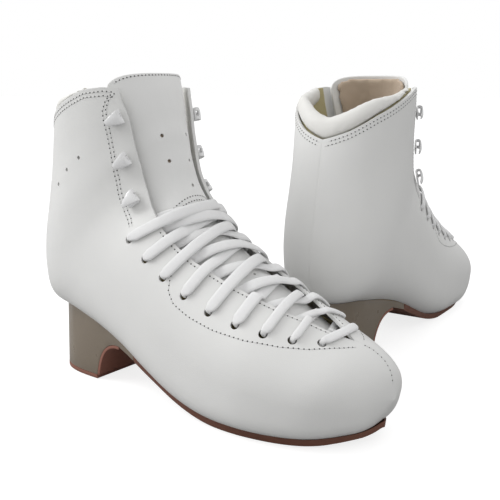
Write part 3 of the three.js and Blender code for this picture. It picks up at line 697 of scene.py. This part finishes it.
def quarterPatch(side):
    def place(s, t):
        u = 20 * t
        start = facingEdge(u) if u >= 3.3 else side * toeSeam(u)
        end = feather(min(u, 19))
        angle = start + (end - start) * s
        return rowAt(t, angle), side * angle

    return place


def buildQuarter(side):
    patch = (upper["across"], upper["along"], quarterPatch(side))
    bm = layerOf([patch], 0.0, layers["leather"], upper["edge"])
    bm = boolean(bm, drillsAt([(u, side * angle) for u, angle, _ in eyelets], drillSizes["eyelet"]))
    if side > 0:
        bm = boolean(bm, drillsAt(ventPlaces, drillSizes["vent"]))
    return bm


addPiece("outer_quarter", buildQuarter(1), "upperHide", stands=("lateral_quarter",))
addPiece("inner_quarter", buildQuarter(-1), "upperHide", stands=("medial_quarter",))
print("quarters ready")

# Lining.
liningSizes = {"across": 34, "along": 90, "edge": 0.3}


def liningPatch(side):
    def place(s, t):
        u = 20 * t
        start = facingEdge(u) + facingStrip(u) if u >= 3.3 else 0.0
        end = feather(min(u, 19))
        angle = start + (end - start) * s
        return min(rowAt(t, angle), rowAt(1, angle) - 0.02), side * angle

    return place


patches = [(liningSizes["across"], liningSizes["along"], liningPatch(side)) for side in (1, -1)]
liningBody = layerOf(patches, layers["lining"], layers["liningFace"], liningSizes["edge"])
addPiece("inner_lining", liningBody, "oliveSuede", stands=("lining",))
print("lining ready")

# Tongue.
tongueSizes = {
    "across": 50, "along": 64, "edge": 0.6, "seam": 9.3, "foot": 4.0, "top": 19.8, "wing": 0.24,
    "padAcross": 46, "padAlong": 56, "padEdge": 1.1, "padInset": 0.11, "padShort": 0.12, "padSwell": 0.7,
}


# The tongue's top end is rounded; its wings reach under the facings.
def tonguePatch(start, end, inset=0.0, short=0.0):
    def place(s, t):
        side = 2 * s - 1
        top = end
        if end > 18:
            top = end - 1 + math.sqrt(max(1 - abs(side) ** 4, 0)) - short
        u = start + (top - start) * t
        return u, side * (facingEdge(u) + tongueSizes["wing"] - inset)

    return place


def sunkenLayer(patch, top, bottom, edge):
    return layerOf([patch], lambda u, a: top + toeDrop(u), lambda u, a: bottom + toeDrop(u), edge)


def tongueLeather(start, end, holes, radius):
    patch = (tongueSizes["across"], tongueSizes["along"], tonguePatch(start, end))
    bm = sunkenLayer(patch, layers["tongue"], layers["tongueBack"], tongueSizes["edge"])
    return boolean(bm, drillsAt(holes, radius, (layers["tongue"] + layers["tongueBack"]) / 2))


tongueStart = tongueSizes["seam"] + 0.05
upperTongue = tongueLeather(tongueStart, tongueSizes["top"], tongueHoles, drillSizes["tongueHole"])
addPiece("tongue_leather", upperTongue, "tongueHide", "tongue", ("tongue_upper",))
lowerTongue = tongueLeather(tongueSizes["foot"], tongueSizes["seam"], lowTongueHoles, drillSizes["lowHole"])
addPiece("tongue_foot_leather", lowerTongue, "tongueHide", "boots", ("tongue_lower",))
print("tongues ready")

# Padded pieces.
padding = {
    "voxel": 0.0022, "frames": 20, "gravity": 0,
    "cloth": {
        "quality": 5, "mass": 0.1, "tension_stiffness": 12, "compression_stiffness": 12,
        "bending_stiffness": 0.4, "use_pressure": True, "uniform_pressure_force": 4,
    },
    "collar": {"cap": 0.0011, "fill": 0.8},
    "tongue": {"cap": 0.0006, "fill": 0.6},
}


# Blows a thin closed form up softly in its place and returns it in millimetres again.
def puffUp(bm, cap):
    bm.transform(placing["right"])
    obj = asObject(bm, "pad")
    remesh = obj.modifiers.new("remesh", "REMESH")
    remesh.mode = "VOXEL"
    remesh.voxel_size = padding["voxel"]
    started = evaluated(obj)
    obj.modifiers.clear()
    obj.data = started
    rest = [v.co.copy() for v in started.vertices]
    cloth = obj.modifiers.new("cloth", "CLOTH")
    for label, value in padding["cloth"].items():
        setattr(cloth.settings, label, value)
    cloth.settings.effector_weights.gravity = padding["gravity"]
    cloth.collision_settings.use_collision = False
    for step in range(1, padding["frames"] + 1):
        scene.frame_set(step)
    swollen = evaluated(obj)
    made = bmesh.new()
    made.from_mesh(swollen)
    made.verts.ensure_lookup_table()
    for v, start in zip(made.verts, rest):
        move = v.co - start
        v.co = start + move * min(1, cap / max(move.length, 1e-9))
    obj.modifiers.clear()
    discard(obj)
    scene.frame_set(1)
    everyAxis = {"use_axis_x": True, "use_axis_y": True, "use_axis_z": True}
    bmesh.ops.smooth_vert(made, verts=made.verts, factor=0.5, **everyAxis)
    made.transform(placing["right"].inverted())
    return made


def tonguePad(start, end):
    sizes = tongueSizes
    place = tonguePatch(start, end, sizes["padInset"], sizes["padShort"])
    patch = (sizes["padAcross"], sizes["padAlong"], place)
    top, back = layers["padding"] + sizes["padSwell"], layers["paddingBack"] - sizes["padSwell"]
    return puffUp(sunkenLayer(patch, top, back, sizes["padEdge"]), padding["tongue"]["cap"])


def addPad(name, bm, finish, body, node, soft):
    addPiece(name, bm, finish, body, (node,), smooth=80, soft=soft)


collarSizes = {
    "first": 1.45, "full": 2.7, "rise": 16, "rowHeight": 14, "thick": 3.3, "room": 1.8, "edge": 0.5,
    "around": 26, "along": 120,
}


# The pad's section at an angle round the collar, as (row, depth) pairs.
def collarRing(angle):
    edge = collarLine(abs(angle))
    back = smoothStep(abs(angle), collarSizes["first"], collarSizes["full"])
    rise = 0.3 + collarSizes["rise"] / collarSizes["rowHeight"] * back
    face = layers["liningFace"] + collarSizes["room"]
    inner = face + collarSizes["thick"]
    inside = [
        (-1.05, face), (-1.05, inner - 1.5), (-0.8, inner), (0.5 * rise - 0.4, inner + 0.1),
        (rise - 0.35, inner - 0.2), (rise - 0.08, inner - 2),
    ]
    outside = [
        (rise - 0.05, 5), (rise - 0.25 * back - 0.1, 2.4), (0.1 + 0.4 * rise * back, 1.1), (0.06, 1.0),
        (0.06, face),
    ]
    return [(edge + row, depth) for row, depth in inside + outside]


def collarPlace(s, t):
    angle = signedTurn(collarSizes["first"] + (2 * math.pi - 2 * collarSizes["first"]) * t)
    u, depth = ringAt(collarRing(angle), s)
    return bootPoint(u, angle, depth)


collarPad = tubeOf(collarSizes["around"], collarSizes["along"], collarPlace)
roundEdges(collarPad, collarSizes["edge"])
collarPad = puffUp(collarPad, padding["collar"]["cap"])
addPad("collar_cushion", collarPad, "collarHide", "boots", "collar_pad", padding["collar"])
seam, upperTop = tongueSizes["seam"], tongueSizes["top"]
lining, soft = "tongue_lining", padding["tongue"]
upperPad = tonguePad(seam + 0.15, upperTop)
addPad("tongue_cushion", upperPad, "beigeFelt", "tongue", "tongue_upper_padding", soft)
lowerPad = tonguePad(tongueSizes["foot"] + 0.1, seam - 0.05)
addPad("tongue_foot_cushion", lowerPad, "beigeFelt", "boots", "tongue_lower_padding", soft)
print("padded pieces ready")

# Footbed.
footbedSizes = {"across": 26, "along": 90, "margin": 3.0, "edge": 0.7, "toe": 1.1, "heel": 11.9, "fill": 0.5}


def footbedPlace(s, t):
    u = footbedSizes["toe"] + (footbedSizes["heel"] - footbedSizes["toe"]) * t
    first = min(feather(u) + footbedSizes["margin"] / mmPerRadian(u, feather(u)), math.pi - 0.01)
    return u, first + (2 * math.pi - 2 * first) * s


footbed = layerOf(
    [(footbedSizes["across"], footbedSizes["along"], footbedPlace)],
    layers["footbed"], layers["footbedFace"], footbedSizes["edge"],
)
bedSoft = {"fill": footbedSizes["fill"], "plain": True}
addPiece("foot_bed", footbed, "footbedSuede", stands=("footbed",), soft=bedSoft)
print("footbed ready")

# Sole and heel.
heelSizes = {
    "tip": 94, "front": 50, "back": 1, "half": 25.5, "height": 45, "lift": 3, "cover": 2, "seat": 67,
    "around": 90, "edge": 0.35, "liftEdge": 0.45, "roundness": 3.2,
}
soleSizes = {"thick": 3, "welt": 1.5, "steps": 70, "edge": 0.36, "round": 16}


# The line where the upper meets the sole, sorted from the heel to the toe: x, z, lateral y, medial y.
planRows = [0.85 + 0.05 * i for i in range(228)]


def featherAt(u):
    outer, inner = outerPoint(u, feather(u)), outerPoint(u, -feather(u))
    return outer.x, outer.z, outer.y, inner.y


plan = sorted(featherAt(u) for u in planRows)
footLine = sorted(tuple(outerPoint(u, math.pi).xz) for u in planRows)


def readPlan(table, x):
    if x <= table[0][0]:
        return table[0][1:]
    for a, b in zip(table, table[1:]):
        if x <= b[0]:
            share = (x - a[0]) / ((b[0] - a[0]) or 1)
            return tuple(mix(p, q, share) for p, q in zip(a[1:], b[1:]))
    return table[-1][1:]


# The heel's outline on one side, from its foot at level 0 to its seat at level 1.
def heelEdge(x, sign, level, isTip):
    z, lateral, medial = readPlan(plan, max(x, plan[0][0] + 0.1))
    front, back = heelSizes["front"], heelSizes["back"]
    start = plan[0][0] - 1
    straight = clamp((x - front) / (heelSizes["tip"] - front), 0, 1)
    footX = x if x > front else back + (x - start) * (front - back) / (front - start)
    seat = (lateral if sign < 0 else medial) + sign * 0.8
    footY = mix(heelSizes["half"], abs(seat), straight)
    if straight == 0:
        bow = 1 - abs((front - footX) / (front - back)) ** heelSizes["roundness"]
        footY = heelSizes["half"] * math.sqrt(max(bow, 0))
    y = 0 if isTip else sign * footY
    seatY = plan[0][2] if isTip else seat
    return Vector((mix(footX, x, level), mix(y, seatY, level), 0))


# A point of that outline at share s of the way round, for an outline that starts at x = first.
def heelAround(s, first, level):
    count = heelSizes["around"]
    k = round(s * count)
    share = 0 if k == count else k / (count - 1)
    sign = -1 if share <= 0.5 else 1
    along = 2 * share if share <= 0.5 else 2 * (1 - share)
    eased = 1 - (1 - along) ** 2.2
    return heelEdge(mix(first, plan[0][0] - 1, eased), sign, level, along > 0.999)


def heelPlace(lowZ, highZ):
    def place(s, t):
        z = mix(lowZ, highZ, t)
        point = heelAround(s, heelSizes["tip"], z / heelSizes["seat"])
        point.z = z
        return point

    return place


heelFoot = heelSizes["lift"] + layers["gap"]


# The heel's hollow front from its foot up to the waist, moved forwards by shift.
def breastArch(shift):
    front, height = heelSizes["front"], heelSizes["height"]
    top = height * 0.68
    corners = [(front, heelFoot), (front + 3, height * 0.5), (front + 12, top), (front + 27, top)]
    line = []
    for i in range(25):
        t = i / 24
        weights = ((1 - t) ** 3, 3 * t * (1 - t) ** 2, 3 * t * t * (1 - t), t**3)
        slopes = (
            -3 * (1 - t) ** 2, 3 * (1 - t) ** 2 - 6 * t * (1 - t), 6 * t * (1 - t) - 3 * t * t, 3 * t * t,
        )
        x, z = (sum(w * c[k] for w, c in zip(weights, corners)) for k in (0, 1))
        dx, dz = (sum(w * c[k] for w, c in zip(slopes, corners)) for k in (0, 1))
        size = math.hypot(dx, dz)
        line.append((x + dz / size * shift, z - dx / size * shift))
    return line


# A band between two lines in the side view, right across the boot.
def bandBody(lowLine, highLine, half=70):
    count = len(lowLine)
    bm = bmesh.new()

    def place(s, t):
        k = round(t * (count - 1))
        x, z = (mix(a, b, s) for a, b in zip(lowLine[k], highLine[k]))
        return Vector((x, -half, z))

    mappedGrid(bm, 1, count - 1, place)
    made = bmesh.ops.extrude_face_region(bm, geom=bm.faces[:], use_keep_orig=True)
    moved = [v for v in made["geom"] if isinstance(v, bmesh.types.BMVert)]
    bmesh.ops.translate(bm, verts=moved, vec=(0, 2 * half, 0))
    bmesh.ops.recalc_face_normals(bm, faces=bm.faces)
    return bm


# The boot's whole outside, a gap larger, which the sole and heel are cut back from.
def lastBody():
    def place(s, t):
        return bootPoint(19 * t, signedTurn(2 * math.pi * (s % 1.0)), -layers["gap"])

    bm = tubeOf(64, 120, place)
    splitFaces(bm)
    return bm


def heelBody(lowZ, highZ):
    bm = tubeOf(heelSizes["around"], 6, heelPlace(lowZ, highZ))
    splitFaces(bm)
    return bm


# Keeps the loose part that reaches lowest.
def keepLowest(bm):
    left, parts = set(bm.verts), []
    while left:
        group, todo = set(), [left.pop()]
        while todo:
            v = todo.pop()
            group.add(v)
            for e in v.link_edges:
                other = e.other_vert(v)
                if other in left:
                    left.remove(other)
                    todo.append(other)
        parts.append(group)
    parts.sort(key=lambda part: min(v.co.z for v in part))
    bmesh.ops.delete(bm, geom=[v for part in parts[1:] for v in part], context="VERTS")
    return bm


# Everything behind and above the hollow front, as one thick slab.
def behindBreast():
    waist = (heelSizes["tip"] + 1, readPlan(plan, heelSizes["tip"])[0] - 5)
    near = [(heelSizes["front"], heelSizes["lift"] - 1)] + breastArch(0) + [waist]
    far = []
    left, top = -40, 75
    for i in range(len(near)):
        share = 2 * i / (len(near) - 1)
        if share < 1:
            far.append((left, mix(near[0][1], top, share)))
        else:
            far.append((mix(left, waist[0], share - 1), top))
    return bandBody(far, near)


heel = boolean(heelBody(heelFoot, heelSizes["seat"]), behindBreast(), "INTERSECT")
heel = keepLowest(boolean(heel, lastBody()))
roundEdges(heel, heelSizes["edge"], 0.9)
addPiece("heel_body", heel, "heelSatin", stands=("heel_block",), smooth=30)
cover = boolean(
    heelBody(heelFoot, heelSizes["seat"]),
    bandBody(breastArch(layers["gap"]), breastArch(layers["gap"] + heelSizes["cover"])),
    "INTERSECT",
)
roundEdges(cover, heelSizes["edge"], 0.9)
coverNode = ("heel_breast_cover",)
addPiece("heel_breast_leather", cover, "breastHide", stands=coverNode, smooth=30)


def liftPlace(s, t):
    point = heelAround(s, heelSizes["front"], 0)
    point.z = heelSizes["lift"] * t
    return point


lift = tubeOf(heelSizes["around"], 2, liftPlace)
roundEdges(lift, heelSizes["liftEdge"])
addPiece("heel_lift", lift, "liftRubber", stands=("heel_top_lift",), smooth=30)


# The sole follows the feather line, widened by the welt and carried round the toe.
def solePlace(s, t):
    ahead = plan[-1][0]
    eased = 1 - (1 - t) ** 1.6
    start = heelSizes["tip"] + layers["gap"]
    x = start + (ahead + soleSizes["welt"] - start) * eased
    reach = soleSizes["round"]
    past = max(x - ahead + reach, 0) / (reach + soleSizes["welt"])
    drawnX = x if past == 0 else ahead - reach + past * reach
    z = readPlan(plan, min(drawnX, ahead - 0.8))[0]
    lateral, medial = readPlan(plan, min(drawnX, ahead - 0.1))[1:]
    spread = soleSizes["welt"] * math.sqrt(max(1 - past**2, 0))
    outer = lateral - spread
    inner = medial + spread
    thick = soleSizes["thick"] * (0.5 + 0.5 * smoothStep(x, 110, 170))
    bottom = max(min(z - thick - 0.6, readPlan(footLine, drawnX)[0] - thick), 0)
    inset = min(1, (inner - outer) / 4)
    ring = [(outer, z), (outer + inset, bottom), (inner - inset, bottom), (inner, z)]
    return Vector((x, *ringAt(ring, s)))


sole = tubeOf(16, soleSizes["steps"], solePlace)
splitFaces(sole)
sole = boolean(sole, lastBody())
roundEdges(sole, soleSizes["edge"])
addPiece("sole_leather", sole, "soleHide", stands=("outsole",), smooth=35)
print("sole and heel ready")

# Hooks.
hookSizes = {
    "wide": 9, "foot": 7, "nose": 3.4, "metal": 1.02, "bend": 2.35, "lift": 0.95, "edge": 0.35,
    "heel": -4.6, "turn": 2.9, "reach": 10, "windowFrom": 4.5, "windowHalf": 2.2,
    "rivet": 1.7, "rivetBack": 1.2, "turnFrom": 0.34, "turnTo": 0.6, "crown": 0.5, "crownFrom": 0.56,
}


# Middle line from the riveted foot, round the bend, to the nose: (ahead, out, width).
def hookProfile(p):
    sizes, first, last = hookSizes, hookSizes["turnFrom"], hookSizes["turnTo"]
    low, high = sizes["lift"], sizes["lift"] + 2 * sizes["bend"]
    if p < first:
        share = p / first
        return mix(sizes["heel"], sizes["turn"], share), low, mix(sizes["foot"], sizes["wide"], share)
    if p < last:
        turn = math.pi * (p - first) / (last - first)
        rise = sizes["bend"] * (1 - math.cos(turn))
        return sizes["turn"] + sizes["bend"] * math.sin(turn), low + rise, sizes["wide"]
    share = (p - last) / (1 - last)
    out = high + 0.25 * math.sin(math.pi * share) - 1.7 * share**2.2
    return sizes["turn"] - sizes["reach"] * share, out, mix(sizes["wide"], sizes["nose"], share)


# The direction over the surface towards the tongue.
def inwards(u, angle):
    step = math.copysign(0.02, angle)
    return (outerPoint(u, angle - step) - outerPoint(u, angle + step)).normalized()


def hookAt(u, angle):
    out, ahead = outerNormal(u, angle), inwards(u, angle)
    up = out.cross(ahead).normalized()
    base = bootPoint(u, angle, -layers["gap"])
    bm = bmesh.new()

    def place(s, t):
        x, z, width = hookProfile(t)
        crown = hookSizes["crown"] * (1 - (2 * s - 1) ** 2) if t > hookSizes["crownFrom"] else 0.0
        return base + ahead * x + out * (z + crown) + up * (width * (s - 0.5))

    def isWindow(face):
        at = face.calc_center_median() - base
        return at.dot(ahead) > hookSizes["windowFrom"] and abs(at.dot(up)) < hookSizes["windowHalf"]

    mappedGrid(bm, 10, 34, place)
    bmesh.ops.delete(bm, geom=[f for f in bm.faces if isWindow(f)], context="FACES")
    bmesh.ops.recalc_face_normals(bm, faces=bm.faces)
    bmesh.ops.solidify(bm, geom=bm.faces[:], thickness=hookSizes["metal"])
    bmesh.ops.recalc_face_normals(bm, faces=bm.faces)
    roundEdges(bm, hookSizes["edge"], 1.1)
    return bm


def rivetAt(u, angle):
    bm = bmesh.new()
    radius = hookSizes["rivet"]
    at = bootPoint(u, angle, -radius) - inwards(u, angle) * hookSizes["rivetBack"]
    turned = Matrix.Translation(at) @ standing(u, angle) @ Matrix.Diagonal((1, 1, 0.4, 1))
    bmesh.ops.create_uvsphere(bm, u_segments=14, v_segments=8, radius=radius, matrix=turned)
    return bm


for sideName, side in (("lateral", 1), ("medial", -1)):
    for i, (u, angle) in enumerate(hookPlaces):
        number, place = str(i + 1), (u, side * angle)
        node = sideName + "_hook_" + number
        hookName = sideName + "_lace_hook_" + number
        addPiece(hookName, hookAt(*place), "hookEnamel", stands=(node,))
        addPiece(sideName + "_hook_rivet_" + number, rivetAt(*place), "rivetSteel")
print("hooks ready")

# Laces.
laceSizes = {
    "thick": 1.9, "wide": 7.6, "drawn": 7, "narrow": 4.5, "bunched": 3.3, "bar": 5.5,
    "over": 1.6, "aside": 0.9, "steps": 7, "around": 12, "weaveWide": 7.5,
}
laceOver = -laceSizes["over"]
laceDepth = layers["lace"]


def alongSurface(start, end, x):
    near = start if x > 0 else end
    middle = end["middle"] + (start["middle"] - end["middle"]) * (x + 1) / 2
    return {"u": middle + (near["u"] - middle) * x * x, "angle": near["side"] * near["angle"] * abs(x)}


def eyeletAt(k, side):
    u, angle, middle = eyelets[k]
    return {"u": u, "angle": angle, "middle": middle, "side": side}


# One stretch from an eyelet to the next one on the other side, over the facings and on the tongue.
def crossing(start, end, isUpper, isUnder):
    def scale(eyelet):
        return mmPerRadian(eyelet["u"], eyelet["side"] * eyelet["angle"] * 0.6) * eyelet["angle"]

    hole, farHole = scale(start), scale(end)
    edge = facingEdge(start["u"]) / start["angle"] * hole
    farEdge = facingEdge(end["u"]) / end["angle"] * farHole
    here, side = bootPoint(start["u"], start["side"] * start["angle"]), start["side"]
    spacing = (here - bootPoint(end["u"], side * end["angle"])).length
    free = min(edge, farEdge)
    width = max(min(laceSizes["drawn"], (free - 3.5) * spacing / hole - 0.4), laceSizes["narrow"])
    zone = min((width + 0.4) * hole / spacing, free - 5)
    if isUnder:
        lie = 0 if isUpper else 0.6
        route = [(hole - 4, laceDepth), (zone, laceDepth + lie), (0, laceDepth + (-0.9 if isUpper else 0.7))]
        route += [(-zone, laceDepth + lie), (4 - farHole, laceDepth)]
    else:
        near, middle, far = (0.1, 0.6, 1.5) if isUpper else (3.2, 3.2, 3.6)
        route = [(hole - 4, laceOver), (edge - 0.5, laceOver), (zone, near), (0, middle)]
        route += [(-zone, far), (3 - farEdge, laceDepth), (4 - farHole, laceDepth)]
    stretch = []
    for s, depth in route:
        at = alongSurface(start, end, s / hole if s > 0 else s / farHole)
        stretch.append({**at, "depth": depth, "width": width})
    return stretch


def throughHole(eyelet, goesIn):
    angle = eyelet["side"] * eyelet["angle"]
    angle -= math.copysign(laceSizes["aside"] / mmPerRadian(eyelet["u"], angle), angle)
    depths = (laceOver + 0.6, laceDepth) if goesIn else (laceDepth, laceOver + 0.6)
    return [{"u": eyelet["u"], "angle": angle, "depth": d, "width": laceSizes["bunched"]} for d in depths]


# The free end under the far facing, down the lining and along the footbed, forward and back.
def tuckedEnd(start, isUpper):
    far = -start["side"]
    floor = layers["footbedFace"] + 1.1
    wall = layers["liningFace"] + 1.3
    edge = facingEdge(start["u"]) / start["angle"]

    def near(share, depth):
        u = 9.1 + (start["u"] - 9.1) * share * share
        return u, start["side"] * start["angle"] * share, depth

    rest = [
        (9.35, 0.38, 1.5 if isUpper else 3.6), (9.9, 0.7, laceDepth), (10.3, 0.95, laceDepth + 0.1),
        (10.35, 1.26, wall), (10.1, 1.45, wall), (9.6, 1.7, wall), (9, 2, wall),
        (8.5, 2.3, wall + 0.6), (8, 2.62, floor + 0.9), (7.4, 2.8, floor), (6.5, 2.82, floor),
        (5.6, 2.82, floor), (4.9, 2.84, floor), (4.55, 2.94, floor), (4.75, 3.04, floor),
        (5.2, 3.07, floor + 1), (5.6, 3.07, floor + 1.9),
    ]
    first = [near(0.92, laceOver), near(0.8, laceOver), near(edge - 0.02, laceOver)]
    first += [near(0.34, 0.1 if isUpper else 3.2), near(0, 0.6 if isUpper else 3.2)]
    places = first + [(u, far * angle, depth) for u, angle, depth in rest]
    return [{"u": u, "angle": angle, "depth": d, "width": laceSizes["drawn"]} for u, angle, d in places]


def halfLace(side, isUpper):
    last = len(eyelets) - 1
    route = throughHole(eyeletAt(last, side), True)
    for k in range(last, 0, -1):
        start, end = eyeletAt(k, side), eyeletAt(k - 1, -side)
        route += crossing(start, end, isUpper, k == last) + throughHole(end, False)
        side = -side
    return route + tuckedEnd(eyeletAt(0, side), isUpper)


def laceRoute():
    u, angle, middle = eyelets[-1]
    bar = [
        {"u": middle + (u - middle) * s * s, "angle": s * angle, "depth": laceOver, "width": laceSizes["bar"]}
        for s in (0.75, 0, -0.75)
    ]
    return halfLace(1, True)[::-1] + bar + halfLace(-1, False)


# Places, cross directions and widths along the whole lace, smoothed between the route's stations.
def laceStations(route):
    points = [bootPoint(r["u"], r["angle"], r["depth"]) for r in route]
    acrossAt, across = [], None
    for i, point in enumerate(points):
        along = (points[min(i + 1, len(points) - 1)] - points[max(i - 1, 0)]).normalized()
        flat = outerNormal(max(route[i]["u"], 0.1), route[i]["angle"]).cross(along)
        if flat.length > 0.75 or across is None:
            flat.normalize()
            across = -flat if across is not None and flat.dot(across) < 0 else flat
        else:
            across = (across - along * across.dot(along)).normalized()
        acrossAt.append(across.copy())
    stations = []
    for i in range(len(points) - 1):
        a, b, c, d = (points[clamp(i + k, 0, len(points) - 1)] for k in (-1, 0, 1, 2))
        knots = [0.0]
        for p, q in ((a, b), (b, c), (c, d)):
            knots.append(knots[-1] + max((q - p).length, 0.4) ** 0.5)
        for step in range(laceSizes["steps"]):
            share = step / laceSizes["steps"]
            width = mix(route[i]["width"], route[i + 1]["width"], share)
            across = acrossAt[i].lerp(acrossAt[i + 1], share)
            stations.append((curveAt((a, b, c, d), knots, share), across, width))
    stations.append((points[-1], acrossAt[-1], route[-1]["width"]))
    return stations


# A smooth curve through the middle two of four points.
def curveAt(points, knots, share):
    a, b, c, d = points
    t0, t1, t2, t3 = knots
    t = t1 + (t2 - t1) * share
    ab = a.lerp(b, (t - t0) / (t1 - t0)) if t1 > t0 else b
    bc = b.lerp(c, share)
    cd = c.lerp(d, (t - t2) / (t3 - t2)) if t3 > t2 else c
    left = ab.lerp(bc, (t - t0) / (t2 - t0))
    right = bc.lerp(cd, (t - t1) / (t3 - t1))
    return left.lerp(right, share)


def laceBody(stations):
    bm = bmesh.new()
    along, around = len(stations) - 1, laceSizes["around"]
    run = [0.0]
    for (p, _, _), (q, _, _) in zip(stations, stations[1:]):
        run.append(run[-1] + (q - p).length)
    uvMark = bm.loops.layers.uv.new("laceRun")
    made = bmesh.ops.create_grid(bm, x_segments=around, y_segments=along, size=1)
    for face in bm.faces:
        for loop in face.loops:
            k = round((loop.vert.co.y + 1) / 2 * along)
            loop[uvMark].uv = (run[k], (loop.vert.co.x + 1) * laceSizes["weaveWide"])
    for v in made["verts"]:
        k = round((v.co.y + 1) / 2 * along)
        turn = math.pi * (v.co.x + 1)
        point, across, width = stations[k]
        before, after = stations[max(k - 1, 0)][0], stations[min(k + 1, along)][0]
        heading = (after - before).normalized()
        flat = (across - heading * across.dot(heading)).normalized()
        up = heading.cross(flat)
        wide = width * laceSizes["wide"] / laceSizes["drawn"] / 2
        thick = laceSizes["thick"] / 2 * (1.25 if width < laceSizes["narrow"] else 1)
        c, s = math.cos(turn), math.sin(turn)
        v.co = point + flat * wide * math.copysign(abs(c) ** 0.8, c)
        v.co += up * thick * math.copysign(abs(s) ** 0.7, s)
    closeUp(bm, 0.005)
    capEnds(bm)
    return bm


stations = laceStations(laceRoute())
addPiece("flat_lace", laceBody(stations), "laceCotton", stands=("lace",), smooth=70)
print("laces ready:", len(stations), "stations")

# Stitching.
seamSizes = {"pitch": 3.0, "thread": 0.33, "hole": 0.5, "proud": 0.08, "pit": 0.14, "sunk": 0.06}


# Even places along a row of (u, angle) on a layer's face.
def alongRow(row, pitch):
    fine = []
    for (u0, a0), (u1, a1) in zip(row, row[1:]):
        fine += [(u0 + (u1 - u0) * k / 12, a0 + (a1 - a0) * k / 12) for k in range(12)]
    fine.append(row[-1])
    places, left = [fine[0]], pitch
    for start, end in zip(fine, fine[1:]):
        size = (outerPoint(*end) - outerPoint(*start)).length
        while size > 0 and left <= size:
            share = left / size
            start = tuple(mix(a, b, share) for a, b in zip(start, end))
            places.append(start)
            size = (outerPoint(*end) - outerPoint(*start)).length
            left = pitch
        left -= size
    return places


# Thread and near-black dots of painted shade at the needle holes along the rows, at a depth below the outer
# face.
def sewRows(rows, depth=lambda u: 0.0, pitch=seamSizes["pitch"]):
    thread, holes = bmesh.new(), bmesh.new()
    for row in rows:
        places = alongRow(row, pitch)
        for here, there in zip(places, places[1:]):
            a = bootPoint(*here, depth(here[0]) - seamSizes["proud"])
            b = bootPoint(*there, depth(there[0]) - seamSizes["proud"])
            out = outerNormal(*here)
            run = (b - a).normalized()
            side = out.cross(run).normalized()
            frameAt = Matrix((run, side, out)).transposed().to_4x4()
            middle = Matrix.Translation(a.lerp(b, 0.5)) @ frameAt
            size = Matrix.Diagonal(((b - a).length * 0.36, seamSizes["thread"], seamSizes["thread"] * 0.8, 1))
            bmesh.ops.create_uvsphere(thread, u_segments=6, v_segments=4, radius=1, matrix=middle @ size)
            # A flattened dark dot at each needle hole, painted shade where the hole is.
            hole = Matrix.Diagonal((seamSizes["hole"], seamSizes["hole"], seamSizes["pit"], 1))
            pit = Matrix.Translation(a - out * seamSizes["sunk"]) @ frameAt @ hole
            bmesh.ops.create_uvsphere(holes, u_segments=6, v_segments=4, radius=1, matrix=pit)
    return thread, holes


def addSeams(name, sewn, body="boots"):
    thread, holes = sewn
    addPiece(name + "_stitching", thread, "seamThread", body)
    addPiece(name + "_needle_holes", holes, "paintedHoleShade", body)


def belowCollar(side, first, last, drop):
    row = []
    for i in range(37):
        angle = first + (last - first) * i / 36
        u = collarLine(angle)
        row.append((u - drop / mmPerRow(u - 0.2, side * angle), side * angle))
    return row


def offsetRow(row, side, mm):
    return [(u, side * (angle + mm / mmPerRadian(u, side * angle))) for u, angle in row]


hookRow = [
    (18.05, 0.97), (17.8, 1.05), (17.13, 1.12), (16.4, 1.12), (15.8, 1.09), (14.69, 1.03), (13.07, 0.96),
    (11.71, 0.97), (10.9, 1.0), (10.51, 1.05),
]
throatLoop = [
    (7.95, 0.88), (7.9, 1.0), (7.75, 1.12), (7.43, 1.17), (6.86, 1.15), (6.07, 1.08), (5.25, 0.97),
    (4.46, 0.8), (3.9, 0.62), (3.6, 0.46), (3.3, 0.27), (3.08, 0.08),
]
edgeRow = [(3.7 + 0.35 * i, facingEdge(3.7 + 0.35 * i)) for i in range(18)]
upperRows = []
for side in (1, -1):
    upperRows += [belowCollar(side, 0.98, 3.11, 2.6), belowCollar(side, 0.98, 3.11, 5.4)]
    upperRows += [offsetRow(hookRow, side, -1.2), offsetRow(hookRow, side, 1.4)]
    upperRows += [offsetRow(throatLoop, side, 0), offsetRow(edgeRow, side, 2.4)]
seamRow = [(3.0 - 0.24 * i, toeSeam(3.0 - 0.24 * i)) for i in range(11)]
upperRows.append([(u, a + 1.5 / mmPerRadian(u, a)) for u, a in seamRow])
addSeams("upper", sewRows(upperRows))
backRow = [(17.5 - 0.45 * i, math.pi - 0.004) for i in range(12)]
addSeams("back_seam", sewRows([backRow], lambda u: 0.25, pitch=1.9))
tongueEnd = tonguePatch(tongueStart, tongueSizes["top"])
tongueEdge = [tongueEnd(0.03 + 0.94 * i / 40, 1) for i in range(41)]
tongueRows = [[(u - 0.28, a * 0.965) for u, a in tongueEdge]]
tongueRows += [[(u, (facingEdge(u) + 0.2) * (2 * i / 24 - 1)) for i in range(25)] for u in (9.6, 9.85)]
addSeams("tongue", sewRows(tongueRows, lambda u: layers["tongue"] + toeDrop(u)), "tongue")
print("stitching ready")

# Carried-over parts.
carried = {
    "heel_counter": "fibreBoard", "toe_puff": "fibreBoard", "insole_board": "fibreBoard",
    "lace_tip_1": "tipPlastic", "lace_tip_2": "tipPlastic",
}
for boot in ("right", "left"):
    for node, finish in carried.items():
        mesh = nodes[boot + "_" + node].data
        mesh.materials.clear()
        mesh.materials.append(finishes[finish])
print("carried-over parts finished")
